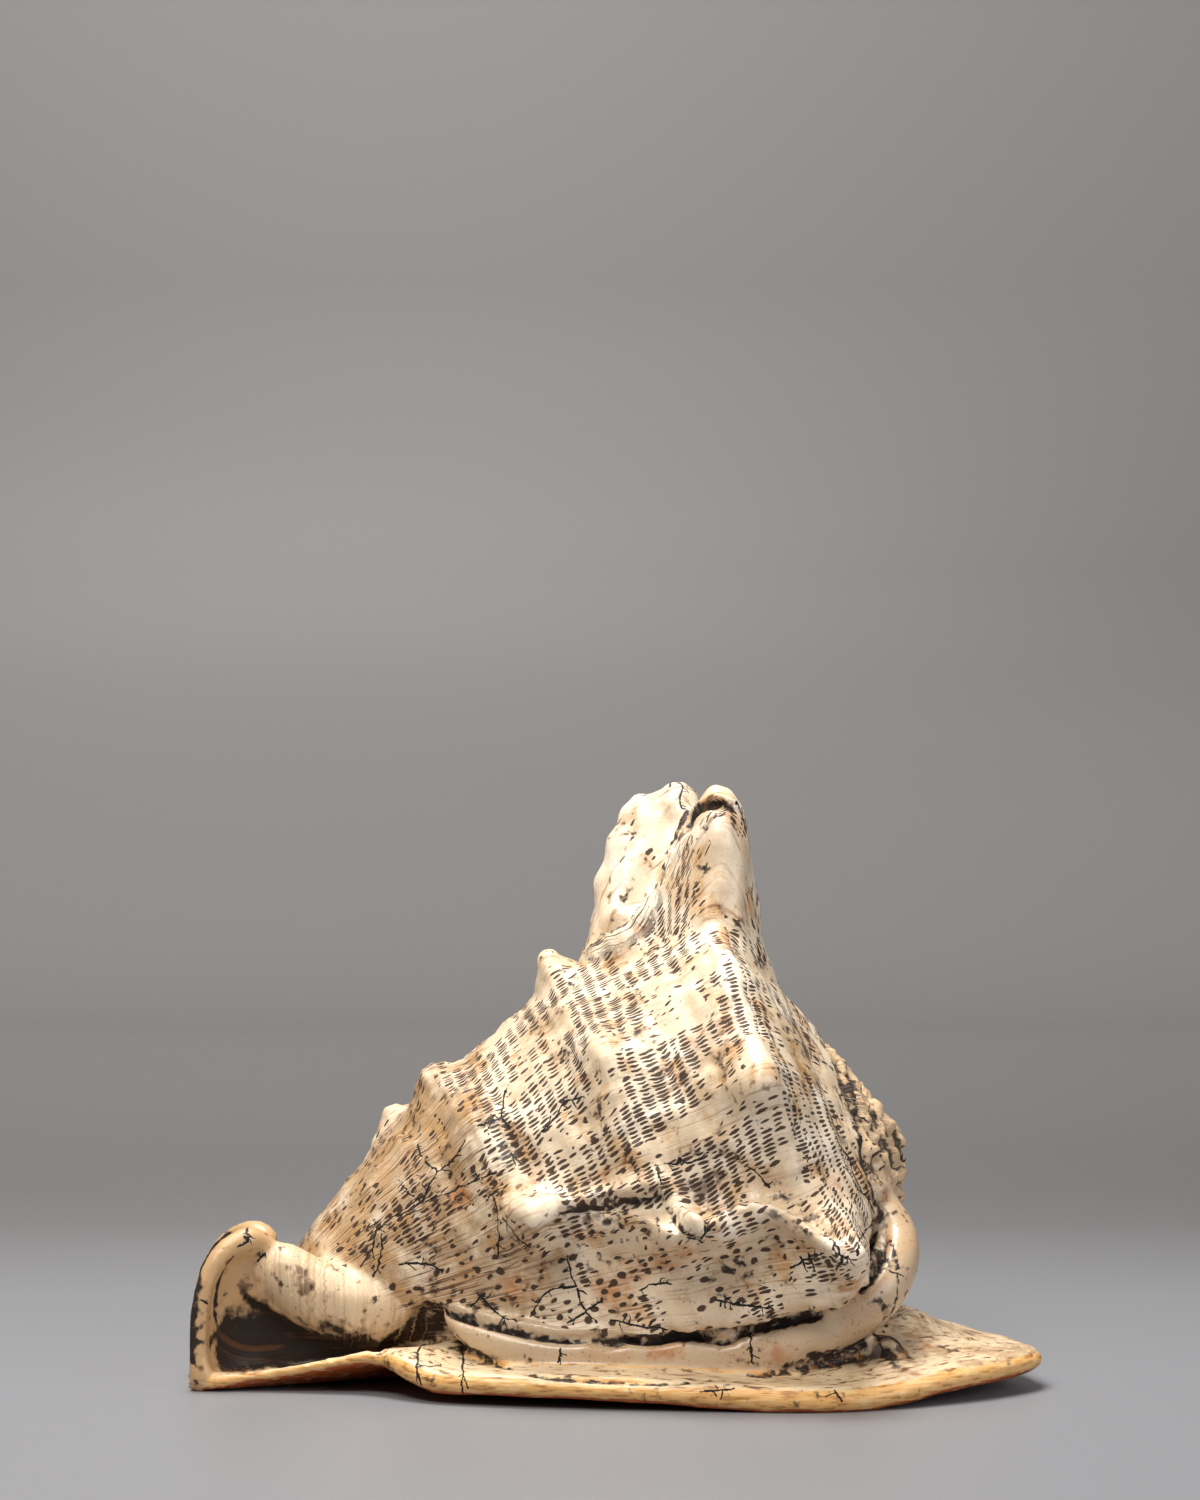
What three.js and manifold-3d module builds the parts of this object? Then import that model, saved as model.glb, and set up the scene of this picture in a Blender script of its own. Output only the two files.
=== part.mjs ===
// A large horned helmet shell, resting on its flat underside as on a table.
// Millimetres, +Z up. The siphonal canal is at -X, the spire at +X, the broad parietal shield at -Y
// and the outer lip at +Y. The shell grew as one piece, so it is one solid.
import * as THREE from 'three';
import { ParametricGeometry } from 'three/addons/geometries/ParametricGeometry.js';
import { mergeVertices } from 'three/addons/utils/BufferGeometryUtils.js';
import Module from 'manifold-3d';

const wasm = await Module();
wasm.setup();

const radians = THREE.MathUtils.degToRad;
const { smoothstep, clamp, lerp } = THREE.MathUtils;
const point = (x, y, z) => new THREE.Vector3(x, y, z);

// The coil: the axis the whorls wind round. It leaves the apex towards the canal, tilted down.
const coil = {
  apex: point(94, 5, 75),
  tilt: radians(17),
  growthPerTurn: 1.65, // how much wider each whorl is than the one before
  fullSizeAt: 90, // degrees round the axis where the profile below is at its real size
  length: 216, // apex to the far end of the columella
};
const toCanal = point(-Math.cos(coil.tilt), 0, -Math.sin(coil.tilt));
const toShield = point(0, -1, 0);
const toCrown = point(-Math.sin(coil.tilt), 0, Math.cos(coil.tilt));

// Degrees round the axis: 0 faces the shield side, 90 the crown, 180 the outer lip's side.
const whorl = { lipEnd: 213.5, suture: 16 };

// Half section of the last whorl, from its suture on: along the axis from the apex, out from the axis.
const profile = [
  [16, 39.5], [17.2, 43.5], [21, 51], [24, 57], [27, 63.5], [30, 70], [33, 75.5], [37, 80.5], [41, 83.5],
  [46, 85.5], [52, 86.5], [60, 86.3], [66, 85.6], [74, 84], [82, 82.2], [90, 80], [100, 76.5], [110, 73],
  [120, 69], [130, 64.7], [140, 60], [150, 54.7], [160, 48.7], [170, 42.4], [180, 36], [188, 30.5],
  [195, 25], [202, 18.5], [208, 12.5], [213, 6.5], [216, 0],
];

// Rows of the surface along the axis, closer together where the form turns sharply.
const rowPlaces = [
  0, 3.5, 5.8, 6.2, 8, 9.5, 10, 12, 14, 15.7, 16.2, 18, 20.5, 23.5, 26.5, 29.5, 32.5, 35.5, 39, 43, 47.5,
  52, 57, 62, 67, 72, 77.5, 83, 88.5, 94, 101, 109, 117, 125, 134, 144, 155, 166, 178, 190, 201, 210, 216,
];

// Horns and nodules, in rows that wind with the whorl. turn: degrees; along: mm from the apex;
// height, and half-widths in mm: round the whorl, to the canal (length) and to the spire (behind);
// lean: how far the tip moves along the axis; blunt: 1 is a sharp cone, 2 a round knob, 4 a stub.
const knobs = [
  { turn: -14, along: 33, height: 18, round: 14, length: 15, behind: 11, lean: -7, blunt: 1.7 },
  { turn: 27, along: 40, height: 10, round: 16, length: 15, behind: 11, lean: -2, blunt: 2.2 },
  { turn: 60, along: 40, height: 8, round: 26, length: 12, behind: 10, lean: -4, blunt: 2.4 },
  { turn: 87, along: 41, height: 41, round: 17, length: 15, behind: 9.5, lean: -17, blunt: 2.5 },
  { turn: 110, along: 49, height: 51, round: 17, length: 22, behind: 17, lean: -13, blunt: 2.4 },
  { turn: 111, along: 71, height: 17, round: 17, length: 12, behind: 12, lean: -2, blunt: 2.8 },
  { turn: 146, along: 47, height: 24, round: 20, length: 19, behind: 14, lean: -9, blunt: 2 },
  { turn: 180, along: 52, height: 13, round: 20, length: 18, behind: 15, lean: -5, blunt: 2 },
  { turn: 1, along: 74, height: 10, round: 9, length: 12, behind: 11, lean: 3, blunt: 1.3 },
  { turn: 46, along: 82, height: 4, round: 16, length: 12, behind: 12, lean: 0, blunt: 2 },
  { turn: 91, along: 92, height: 11, round: 10, length: 8, behind: 8, lean: 1, blunt: 1.7 },
  { turn: 132, along: 104, height: 8, round: 14, length: 11, behind: 11, lean: 0, blunt: 1.8 },
  { turn: 172, along: 112, height: 5, round: 15, length: 12, behind: 12, lean: 0, blunt: 1.8 },
  { turn: 16, along: 119, height: 9, round: 10, length: 9, behind: 10, lean: 2, blunt: 2.2 },
  { turn: 50, along: 128, height: 3, round: 14, length: 11, behind: 11, lean: 0, blunt: 2 },
  { turn: 89, along: 140, height: 6, round: 11, length: 9, behind: 9, lean: 1, blunt: 1.8 },
  { turn: 119, along: 159, height: 9, round: 12, length: 9, behind: 9, lean: 0, blunt: 1.8 },
];

// Keels that join the knobs of a row: place along the axis at full size, height, half-width.
const keels = [
  { along: 42, height: 3, width: 10 },
  { along: 92, height: 2.5, width: 9 },
  { along: 138, height: 2, width: 8 },
];
const spireKnobs = { perTurn: 8, height: 2.4, along: 13.5, width: 2.6 };

// Guide lines over the whorl: along, turn. The hem is where the newer whorl starts, standing proud
// of the old lip. The fold is an old growth stop that joins three knobs; below it the whorl is sunk.
const hem = {
  step: 6, starts: [16, 24], ends: [150, 190],
  path: [[19, -22], [29, -28], [50, -34], [75, -34], [104, -28], [133, -19], [158, -6]],
};
const fold = {
  height: 4, width: 7, sink: 2.5, sinkWidth: 13, starts: [22, 34], ends: [122, 142],
  path: [[29, -15], [39, -6], [50, 0], [60, -2], [74, 1], [97, 10], [119, 16], [140, 18]],
};

// Columns of the surface: each guide line and how the gap to the next one is shared out.
const columnPlan = [
  { path: hem.path, shares: [0, 0.3, 0.58, 0.78, 0.9] },
  { path: fold.path, shares: [0, 0.1, 0.24, 0.42, 0.62, 0.82] },
  { path: [[0, 46]], shares: [0, 0.25, 0.5, 0.7, 0.84, 0.93] },
  { path: [[0, 87]], shares: [0, 0.15, 0.32, 0.5, 0.68, 0.84] },
  { path: [[0, 110]], shares: [0, 0.1, 0.22, 0.4, 0.62, 0.82] },
  { path: [[0, 146]], shares: [0, 0.2, 0.45, 0.72] },
  { path: [[0, 180]], shares: [0, 0.25, 0.5, 0.75] },
  { path: [[0, whorl.lipEnd]], shares: [0] },
];
const oldColumns = 8; // columns on the older whorl, between the outer lip and the hem

// The underside: the rim's x, y, its lowest z and its thickness.
const shieldCentre = point(0, 5, 0);
const shieldRim = [
  [-131, -32, -0.5, 4.5], [-117, -36, 2.5, 4], [-103, -38, 5, 4], [-90, -40, 7.5, 4], [-79, -42, 9, 5],
  [-71, -47, 8, 7], [-65, -54, 5.5, 7.5], [-57, -60.5, 3.2, 7.5], [-40, -68, 3, 7.5], [-4, -76, 2.6, 7.5],
  [27, -80, 0.9, 8], [57, -82, -1, 9], [78, -78, -1, 9], [103, -63, 2.6, 8.5], [123, -46, 4.2, 8.5],
  [135, -28, 4.6, 8.5], [134, -10, 4.4, 8], [128, 12, 4, 8], [119, 34, 3, 9], [109, 56, 2, 11],
  [96, 78, 0.5, 13], [78, 96, -1, 14], [52, 107, -1.6, 15], [25, 111, -1.6, 15], [-5, 108, -1.6, 15],
  [-35, 99, -1.2, 14], [-62, 83, -0.4, 13], [-84, 63, 0.5, 11], [-104, 40, 1, 9], [-120, 18, 0.8, 7],
  [-132, 2, 0.2, 6],
];
const shieldArch = 2.5; // how far the middle of the underside is hollowed
const shieldEdge = { rows: 0.45, roundFrom: 0.93, tuck: 0.34 }; // rows up to the rim, and how it is rounded
// Fillet from the shield up to the whorl.
const skirt = { x: 18, y: 2, halfLength: 80, halfWidth: 56, rise: 14, reach: 11, from: -70 };

// The aperture's outline on the underside: x, y.
const slit = [
  [-122, -18], [-100, -12], [-80, -2], [-60, 8], [-35, 18], [-5, 26], [25, 31], [50, 34], [68, 38],
  [75, 46], [66, 54], [45, 58], [20, 60], [-5, 57], [-30, 48], [-55, 33], [-78, 16], [-98, 2], [-122, -6],
];
const slitDepth = 36;

// The space the animal lived in, wound back from the aperture. mouth, end, deepFrom: degrees of turn.
const cavity = {
  mouth: 230, end: -112, near: 29, far: 192, inner: 0.2, wall: 7, fullness: 0.55,
  deepWall: 13, deepFrom: 10, deepSpan: 35, // the wall is thicker further in
  drift: 8, narrowing: 0.8, roundEnds: 12,
};

// Rolled edges and cords: x, y, z and radius along each.
const oldLip = [
  [-54, -36, 26, 1.5], [-45, -41, 20.5, 5], [-32, -46, 16.8, 7.5], [-16, -50, 14.8, 8.5], [2, -52, 13.8, 8.8],
  [21, -53, 13.6, 8.8], [39, -54, 15.4, 9], [55, -53, 19, 9.3], [70, -50, 25, 9.5], [82.5, -44, 33.5, 9],
  [88.5, -36, 43, 7.5], [88.5, -29, 50, 6.5], [85, -25, 57, 5.5], [82, -24, 64, 5], [79, -24, 71, 4],
  [77, -25, 77, 2.5],
];
const outerLip = [
  [72, 44, 31, 5], [83, 58, 20, 8], [84, 74, 14, 10], [70, 89, 12, 11], [50, 97, 11.5, 11],
  [25, 100, 11.5, 11.5], [-5, 97, 11.5, 11.5], [-35, 88, 11, 11], [-62, 73, 10.5, 10], [-84, 54, 9.5, 8.5],
  [-104, 32, 9, 7], [-120, 12, 9, 6],
];
const fasciole = [
  [-48, -6, 22, 9], [-60, -14, 24, 11.5], [-73, -19, 24.5, 12], [-84, -20, 26, 11.5], [-95, -20, 30, 10.5],
  [-104, -20, 36.5, 9], [-111, -20, 42, 7.5],
];
const nearWall = [
  [-129, -31, -2, 3.6], [-129.5, -32, 13, 3.1], [-129, -32, 25, 3.1], [-126.5, -31, 35.5, 3.1],
  [-121, -28, 43.5, 3.6], [-114, -23, 45.5, 4.5], [-108, -18, 42, 5],
];
const farWall = [
  [-131, 0, -2, 3.4], [-132, 2, 14.5, 3.2], [-131, 2, 27, 3.2], [-126.5, 0, 38.5, 3.4],
  [-119, -4, 45.5, 3.8], [-113, -9, 46, 5], [-108, -14, 42, 5],
];
const canalBack = [
  [-56, 6, 13, 15], [-78, -2, 13, 15], [-96, -8, 15, 15], [-108, -12, 22, 15], [-113, -14, 32, 13],
  [-114, -15, 41, 8],
];
const canalBore = [
  [-50, 14, 4, 7], [-76, 2, 4, 7], [-98, -8, 6, 7], [-114, -13, 15, 7.5], [-123, -15, 27, 8],
  [-129, -16, 38, 9], [-135, -17, 48, 9],
];
const pocket = { centre: point(-98, -36, 19.5), halfSizes: point(27, 15, 12), tilt: radians(-14) };
// Thin wall behind the canal's near rim.
const canalWeb = { centre: point(-119, -26, 22), halfSizes: point(13, 3.5, 25) };

const oldKnob = { centre: point(83, -42, 11), halfSizes: point(9, 10, 8) };
const brokenTip = { centre: point(33.5, -8, 187), halfSizes: point(2.2, 8, 9), turn: radians(35) };

// Teeth on the outer lip and folds on the inner lip: x, y, half-length across the slit.
const teeth = [[-32, 47.5, 7], [-17, 53, 8], [-2, 57.5, 9], [14, 60, 9], [30, 59.5, 9], [45, 57.5, 7]];
const plaits = [[-62, 7, 5], [-50, 11.5, 5.5], [-38, 16, 6], [-26, 20, 6], [-14, 23.5, 6], [0, 27, 5]];
const toothHalf = { width: 4.4, height: 6, z: 5 };
const levelUnder = 4; // mm above the table where the whorl is cut level under the shield

// Middle of the finished shell's box, moved to the origin at the end.
const boxMiddle = point(0.2, 15.2, 0);

const smooth = (points, closed) => new THREE.CatmullRomCurve3(points, closed, 'centripetal');
const spline = (rows) => smooth(rows.map(([x, y, z]) => point(x, y, z)), false);
const stageScale = (turn) => coil.growthPerTurn ** ((turn - coil.fullSizeAt) / 360);
const bell = (distance, blunt) => Math.exp(-1.4 * distance ** blunt);

// Value at x on a list of [x, value] rows, held at the ends.
function along(rows, x) {
  const next = rows.findIndex((row) => row[0] > x);
  if (next === 0) return rows[0][1];
  if (next < 0) return rows.at(-1)[1];
  const [low, high] = [rows[next - 1], rows[next]];
  return lerp(low[1], high[1], (x - low[0]) / (high[0] - low[0]));
}

function coilPoint(turn, distance, out) {
  const angle = radians(turn);
  return coil.apex.clone()
    .addScaledVector(toCanal, distance)
    .addScaledVector(toShield, out * Math.cos(angle))
    .addScaledVector(toCrown, out * Math.sin(angle));
}

// Turns a surface into a solid: shared corners merged, empty triangles dropped, faces out.
function solidOf(geometry) {
  const bare = geometry.index ? geometry.toNonIndexed() : geometry.clone();
  bare.deleteAttribute('normal');
  bare.deleteAttribute('uv');
  const merged = mergeVertices(bare, 1e-3);
  const corners = merged.index.array;
  const kept = [];
  for (let i = 0; i < corners.length; i += 3) {
    const [a, b, c] = [corners[i], corners[i + 1], corners[i + 2]];
    if (a !== b && b !== c && c !== a) kept.push(a, b, c);
  }
  const made = (triangles) => new wasm.Manifold(new wasm.Mesh({
    numProp: 3,
    vertProperties: new Float32Array(merged.attributes.position.array),
    triVerts: new Uint32Array(triangles),
  }));
  const solid = made(kept);
  return solid.volume() > 0 ? solid : made(kept.reverse());
}

// A rod of changing radius along x, y, z, radius rows, closed by round ends.
const rodEnds = 8; // 2 would be a spindle; higher is blunter
function rod(rows, rings, sides, flatten = 1) {
  const path = spline(rows);
  const frames = path.computeFrenetFrames(rings, false);
  const radii = rows.map((row, i) => [i / (rows.length - 1), row[3]]);
  const surface = (u, v, target) => {
    const share = clamp(v, 0, 1);
    const ring = Math.round(share * rings);
    const middle = path.getPointAt(share);
    const closing = Math.sqrt(clamp(1 - (2 * share - 1) ** rodEnds, 0, 1));
    const radius = along(radii, path.getUtoTmapping(share)) * closing;
    const angle = 2 * Math.PI * u;
    target.copy(middle)
      .addScaledVector(frames.normals[ring], radius * Math.cos(angle))
      .addScaledVector(frames.binormals[ring], radius * Math.sin(angle));
    target.z = lerp(middle.z, target.z, flatten);
  };
  return solidOf(new ParametricGeometry(surface, sides, rings));
}

function ellipsoid(centre, halfSizes, tiltY = 0, turnZ = 0, columns = 6, rows = 5) {
  const ball = new THREE.SphereGeometry(1, columns, rows);
  ball.scale(halfSizes.x, halfSizes.y, halfSizes.z).rotateY(tiltY).rotateZ(turnZ);
  return solidOf(ball.translate(centre.x, centre.y, centre.z));
}

// Height of horns, keels and the growth fold, and the shift along the axis.
function relief(turn, distance, out) {
  let rise = 0;
  let shift = 0;
  const scale = stageScale(turn);
  const arc = (degrees) => radians(degrees) * out;
  for (const knob of knobs) {
    const across = arc(turn - knob.turn) / knob.round;
    const lengthwise = (distance - knob.along) / (distance > knob.along ? knob.length : knob.behind);
    const share = bell(Math.hypot(across, lengthwise), knob.blunt);
    rise += knob.height * share;
    shift += knob.lean * share;
  }
  for (const keel of keels) {
    rise += keel.height * bell(Math.abs(distance / scale - keel.along) / keel.width, 2);
  }
  const foldTurn = along(fold.path, distance);
  const onFold = smoothstep(distance, ...fold.starts) * (1 - smoothstep(distance, ...fold.ends));
  const below = arc(foldTurn - turn);
  rise += onFold * fold.height * bell(Math.abs(below) / fold.width, 2);
  rise -= onFold * fold.sink * smoothstep(below, 0, fold.sinkWidth);
  return { rise, shift };
}

// Profile radius at a place along the axis, at full size. The spire repeats the last whorl, smaller.
function outAt(place) {
  let scale = 1;
  while (place * scale < whorl.suture && scale < 6) scale *= coil.growthPerTurn;
  if (place * scale < whorl.suture) return place * profile[0][1] / whorl.suture;
  return along(profile, place * scale) / scale;
}

const alongAt = (place, scale) => place * scale ** (1 - (place / coil.length) ** 2);

// Turn of each column at a row: first the newer whorl from the hem to the lip, then the older one.
function columnTurns(place) {
  const turnOn = (path) => along(path, alongAt(place, stageScale(along(path, place))));
  const turns = [];
  columnPlan.forEach(({ path, shares }, i) => {
    const next = columnPlan[i + 1] ?? columnPlan[i];
    for (const share of shares) {
      const turn = lerp(turnOn(path), turnOn(next.path), share);
      turns.push({ turn, stage: turn, fresh: true });
    }
  });
  const hemTurn = turns[0].turn;
  for (let i = 0; i < oldColumns; i++) {
    const turn = lerp(whorl.lipEnd + 1, 359 + hemTurn, i / (oldColumns - 1));
    turns.push({ turn, stage: turn - 360, fresh: false });
  }
  return turns;
}

// The coiled body, solid to its axis. One surface: columns round the axis, rows from apex to canal.
function body() {
  const grid = rowPlaces.map((place, row) => columnTurns(place).map(({ turn, stage, fresh }) => {
    const scale = stageScale(stage);
    const distance = alongAt(place, scale);
    let out = outAt(place) * scale;
    let shift = 0;
    if (row > 0 && place < whorl.suture) {
      const wave = Math.cos(radians(turn * spireKnobs.perTurn)) ** 2;
      out += spireKnobs.height * wave * bell(Math.abs(place - spireKnobs.along) / spireKnobs.width, 2);
    }
    if (fresh && place > whorl.suture && row < rowPlaces.length - 1) {
      const form = relief(stage, distance, out);
      out += form.rise;
      shift = form.shift;
    }
    if (!fresh) {
      const underHem = smoothstep(distance, ...hem.starts) * (1 - smoothstep(distance, ...hem.ends));
      out -= hem.step * underHem;
    }
    return coilPoint(turn, distance + shift, Math.max(out, 0));
  }));
  const columns = grid[0].length;
  const rows = rowPlaces.length - 1;
  const surface = (u, v, target) => {
    target.copy(grid[Math.round(v * rows)][Math.round(u * columns) % columns]);
  };
  return solidOf(new ParametricGeometry(surface, columns, rows));
}

// The living chamber: a broad tunnel that winds back from the aperture and narrows.
function chamber() {
  const full = (value) => Math.sign(value) * Math.abs(value) ** cavity.fullness;
  const surface = (u, v, target) => {
    const turn = lerp(cavity.mouth, cavity.end, v);
    const scale = stageScale(turn);
    const closing = Math.sqrt(clamp(1 - (2 * clamp(v, 0, 1) - 1) ** cavity.roundEnds, 0, 1));
    const angle = 2 * Math.PI * u;
    const middle = (cavity.near + cavity.far) / 2 - cavity.drift * v;
    const half = lerp(1, cavity.narrowing, v) * closing * (cavity.far - cavity.near) / 2;
    const place = middle + half * full(Math.cos(angle));
    const thick = lerp(cavity.wall, cavity.deepWall, smoothstep(cavity.deepFrom - turn, 0, cavity.deepSpan));
    const wall = Math.max(outAt(place) - thick / scale, outAt(place) * 0.5);
    const inner = wall * cavity.inner;
    const out = lerp(inner, wall, 0.5 + 0.5 * closing * full(Math.sin(angle)));
    target.copy(coilPoint(turn, alongAt(place, scale), out * scale));
  };
  return solidOf(new ParametricGeometry(surface, 13, 17));
}

// The shield and lip margin: one disc with a rounded rim, hollowed a little underneath.
function shield() {
  const outline = smooth(shieldRim.map(([x, y]) => point(x, y, 0)), true);
  const low = smooth(shieldRim.map(([, , z, thick], i) => point(i, z, thick)), true);
  const surface = (u, v, target) => {
    const rim = outline.getPoint(u % 1);
    const edgeLow = low.getPoint(u % 1);
    const under = v < 0.5;
    const share = clamp((under ? v : 1 - v) / shieldEdge.rows, 0, 1);
    const across = Math.sin(share * Math.PI / 2);
    const bottom = lerp(shieldCentre.z, edgeLow.y, across);
    const thickness = lerp(5, edgeLow.z, across);
    const x = lerp(shieldCentre.x, rim.x, across);
    const y = lerp(shieldCentre.y, rim.y, across);
    const edge = smoothstep(across, shieldEdge.roundFrom, 1) * shieldEdge.tuck;
    if (under) {
      target.set(x, y, bottom + shieldArch * (1 - across ** 2) + thickness * edge);
      return;
    }
    const away = Math.hypot((x - skirt.x) / skirt.halfLength, (y - skirt.y) / skirt.halfWidth) - 1;
    const climb = x > skirt.from ? skirt.rise * Math.exp(-Math.abs(away) * skirt.halfWidth / skirt.reach) : 0;
    target.set(x, y, bottom + thickness * (1 - edge) + climb * (1 - across ** 6));
  };
  return solidOf(new ParametricGeometry(surface, 50, 12));
}

function slitCutter() {
  const outline = smooth(slit.map(([x, y]) => point(x, y, 0)), true);
  const shape = new THREE.Shape(outline.getPoints(44).map((p) => new THREE.Vector2(p.x, p.y)));
  const cutter = new THREE.ExtrudeGeometry(shape, { depth: slitDepth, bevelEnabled: false });
  return solidOf(cutter.translate(0, 0, -slitDepth / 4));
}

function block(low, high) {
  const size = high.clone().sub(low);
  const middle = low.clone().add(high).multiplyScalar(0.5);
  return solidOf(new THREE.BoxGeometry(size.x, size.y, size.z).translate(middle.x, middle.y, middle.z));
}

function canal() {
  const walls = rod(canalBack, 9, 12).add(rod(nearWall, 10, 8)).add(rod(farWall, 8, 8));
  const hollow = ellipsoid(pocket.centre, pocket.halfSizes, pocket.tilt, 0, 12, 8);
  const web = ellipsoid(canalWeb.centre, canalWeb.halfSizes, 0, 0, 8, 6);
  return walls.subtract(hollow).add(web).add(rod(fasciole, 9, 12)).subtract(rod(canalBore, 9, 10));
}

function shell() {
  const below = block(point(-200, -200, -200), point(200, 200, levelUnder));
  const table = block(point(-200, -200, -200), point(200, 200, 0));
  let solid = body().subtract(below).subtract(chamber());
  solid = solid.add(shield()).add(rod(outerLip, 14, 9, 0.85)).subtract(slitCutter());
  solid = solid.add(canal()).add(rod(oldLip, 22, 8));
  solid = solid.add(ellipsoid(oldKnob.centre, oldKnob.halfSizes));
  solid = solid.subtract(ellipsoid(brokenTip.centre, brokenTip.halfSizes, 0, brokenTip.turn, 8, 6));
  for (const [x, y, half] of teeth) {
    solid = solid.add(ellipsoid(point(x, y, toothHalf.z), point(toothHalf.width, half, toothHalf.height)));
  }
  for (const [x, y, half] of plaits) {
    solid = solid.add(ellipsoid(point(x, y, toothHalf.z), point(toothHalf.width, half, toothHalf.height)));
  }
  return solid.subtract(table);
}

function meshOf(solid, name, finish) {
  const { vertProperties, triVerts, numProp } = solid.getMesh();
  const geometry = new THREE.BufferGeometry();
  const places = new Float32Array(triVerts.length * 3);
  triVerts.forEach((corner, i) => {
    const start = corner * numProp;
    places.set(vertProperties.subarray(start, start + 3), i * 3);
  });
  geometry.setAttribute('position', new THREE.BufferAttribute(places, 3));
  geometry.translate(-boxMiddle.x, -boxMiddle.y, 0);
  geometry.computeVertexNormals();
  const mesh = new THREE.Mesh(geometry, new THREE.MeshStandardMaterial(finish));
  mesh.name = name;
  return mesh;
}

const group = new THREE.Group();
group.add(meshOf(shell(), 'shell', { color: 0xe3c9a0, roughness: 0.45, metalness: 0 }));

export default group;
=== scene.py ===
import math
from functools import partial

import bpy
import numpy as np
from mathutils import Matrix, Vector
from mathutils.bvhtree import BVHTree
from mathutils.interpolate import poly_3d_calc
from mathutils.kdtree import KDTree


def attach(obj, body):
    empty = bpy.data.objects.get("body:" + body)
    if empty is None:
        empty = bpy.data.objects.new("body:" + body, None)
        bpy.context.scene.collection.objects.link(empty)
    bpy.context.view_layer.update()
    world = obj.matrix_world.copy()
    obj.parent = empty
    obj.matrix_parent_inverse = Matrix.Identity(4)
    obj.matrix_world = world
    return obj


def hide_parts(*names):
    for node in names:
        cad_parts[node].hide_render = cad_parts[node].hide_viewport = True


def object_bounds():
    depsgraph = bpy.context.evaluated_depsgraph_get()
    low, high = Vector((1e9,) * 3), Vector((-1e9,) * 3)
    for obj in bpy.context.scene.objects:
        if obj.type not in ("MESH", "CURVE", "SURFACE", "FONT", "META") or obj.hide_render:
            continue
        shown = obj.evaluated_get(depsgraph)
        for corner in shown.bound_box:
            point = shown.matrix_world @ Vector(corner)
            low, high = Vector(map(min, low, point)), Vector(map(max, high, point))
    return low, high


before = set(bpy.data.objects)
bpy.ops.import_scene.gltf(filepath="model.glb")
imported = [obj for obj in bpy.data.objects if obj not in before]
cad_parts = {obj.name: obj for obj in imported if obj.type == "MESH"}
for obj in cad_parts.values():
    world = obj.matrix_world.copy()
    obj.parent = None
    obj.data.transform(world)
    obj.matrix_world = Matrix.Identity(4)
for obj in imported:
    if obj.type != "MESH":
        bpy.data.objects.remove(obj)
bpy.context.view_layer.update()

# Lengths below are in millimetres, in the frame in which the shell was measured.
# The CAD moves that frame so that the middle of the shell's box is over the origin.
boxMiddle = Vector((0.2, 15.2, 0.0))


def toMetres(points):
    return (np.asarray(points, float) - np.array(boxMiddle)) * 0.001


# The coil: the axis the whorls wind round, from the apex towards the canal
coil = {
    "apex": (94.0, 5.0, 75.0),
    "tilt": math.radians(17),  # how far the axis dips towards the canal
    "growthPerTurn": 1.65,
    "fullSizeAt": 90.0,  # degrees round the axis where the profile is at its real size
    "length": 216.0,  # apex to the end of the columella
    "lipEnd": 213.5,  # the turn at which the whorl stops, at the outer lip
    "suture": 16.0,
}
apex = np.array(coil["apex"])
toCanal = np.array((-math.cos(coil["tilt"]), 0.0, -math.sin(coil["tilt"])))
toShield = np.array((0.0, -1.0, 0.0))
toCrown = np.array((-math.sin(coil["tilt"]), 0.0, math.cos(coil["tilt"])))

# Half section of the last whorl from its suture on: along the axis from the apex, out from it
profile = [
    (16, 39.5), (17.2, 43), (21, 51), (24, 57), (27, 63.5), (30, 70), (33, 75.5), (37, 80.5), (41, 83.5),
    (46, 85.5), (52, 86.5), (60, 86.3), (66, 85.6), (74, 84), (82, 82.2), (90, 80), (100, 76.5), (110, 73),
    (120, 69), (130, 64.7), (140, 60), (150, 54.7), (160, 48.7), (170, 42.4), (180, 36), (188, 30.5),
    (195, 25), (202, 18.5), (208, 12.5), (213, 6.5), (216, 0),
]

# Guide lines over the whorl: along, turn. The hem is where the newer whorl starts; the fold is an
# old growth stop that joins three nodules.
hem = {
    "step": 6.0, "flare": 6.0, "flareTurn": 10.0,
    "path": [(19, -19), (29, -26), (37, -26.5), (50, -26.5), (64, -26.5), (75, -25.5), (100, -22.5),
             (124, -18), (145, -12), (160, -5)],
}
fold = {
    "height": 4.0, "width": 6.0, "sink": 2.5, "sinkWidth": 13.0,
    "path": [(29, -15), (39, -6), (50, 0), (60, -2), (74, 1), (97, 10), (119, 16), (140, 18)],
}


def smoothstep(values, low, high):
    share = np.clip((np.asarray(values, float) - low) / (high - low), 0, 1)
    return share * share * (3 - 2 * share)


def onLine(rows, x):
    # Smooth curve through rows of (x, value), held level past its ends
    rows = np.array(rows, float)
    knots, values = rows[:, 0], rows[:, 1]
    slopes = np.gradient(values, knots)
    x = np.clip(x, knots[0], knots[-1])
    i = np.clip(np.searchsorted(knots, x) - 1, 0, len(knots) - 2)
    gap = knots[i + 1] - knots[i]
    t = (x - knots[i]) / gap
    rise = values[i] * (2 * t**3 - 3 * t**2 + 1) + values[i + 1] * (3 * t**2 - 2 * t**3)
    return rise + gap * (slopes[i] * (t**3 - 2 * t**2 + t) + slopes[i + 1] * (t**3 - t**2))


def stageScale(turn):
    return coil["growthPerTurn"] ** ((np.asarray(turn, float) - coil["fullSizeAt"]) / 360)


def alongAt(place, scale):
    # Growth shifts the shoulder along the axis but leaves the canal's end where it is
    return place * scale ** (1 - (place / coil["length"]) ** 2)


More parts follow.
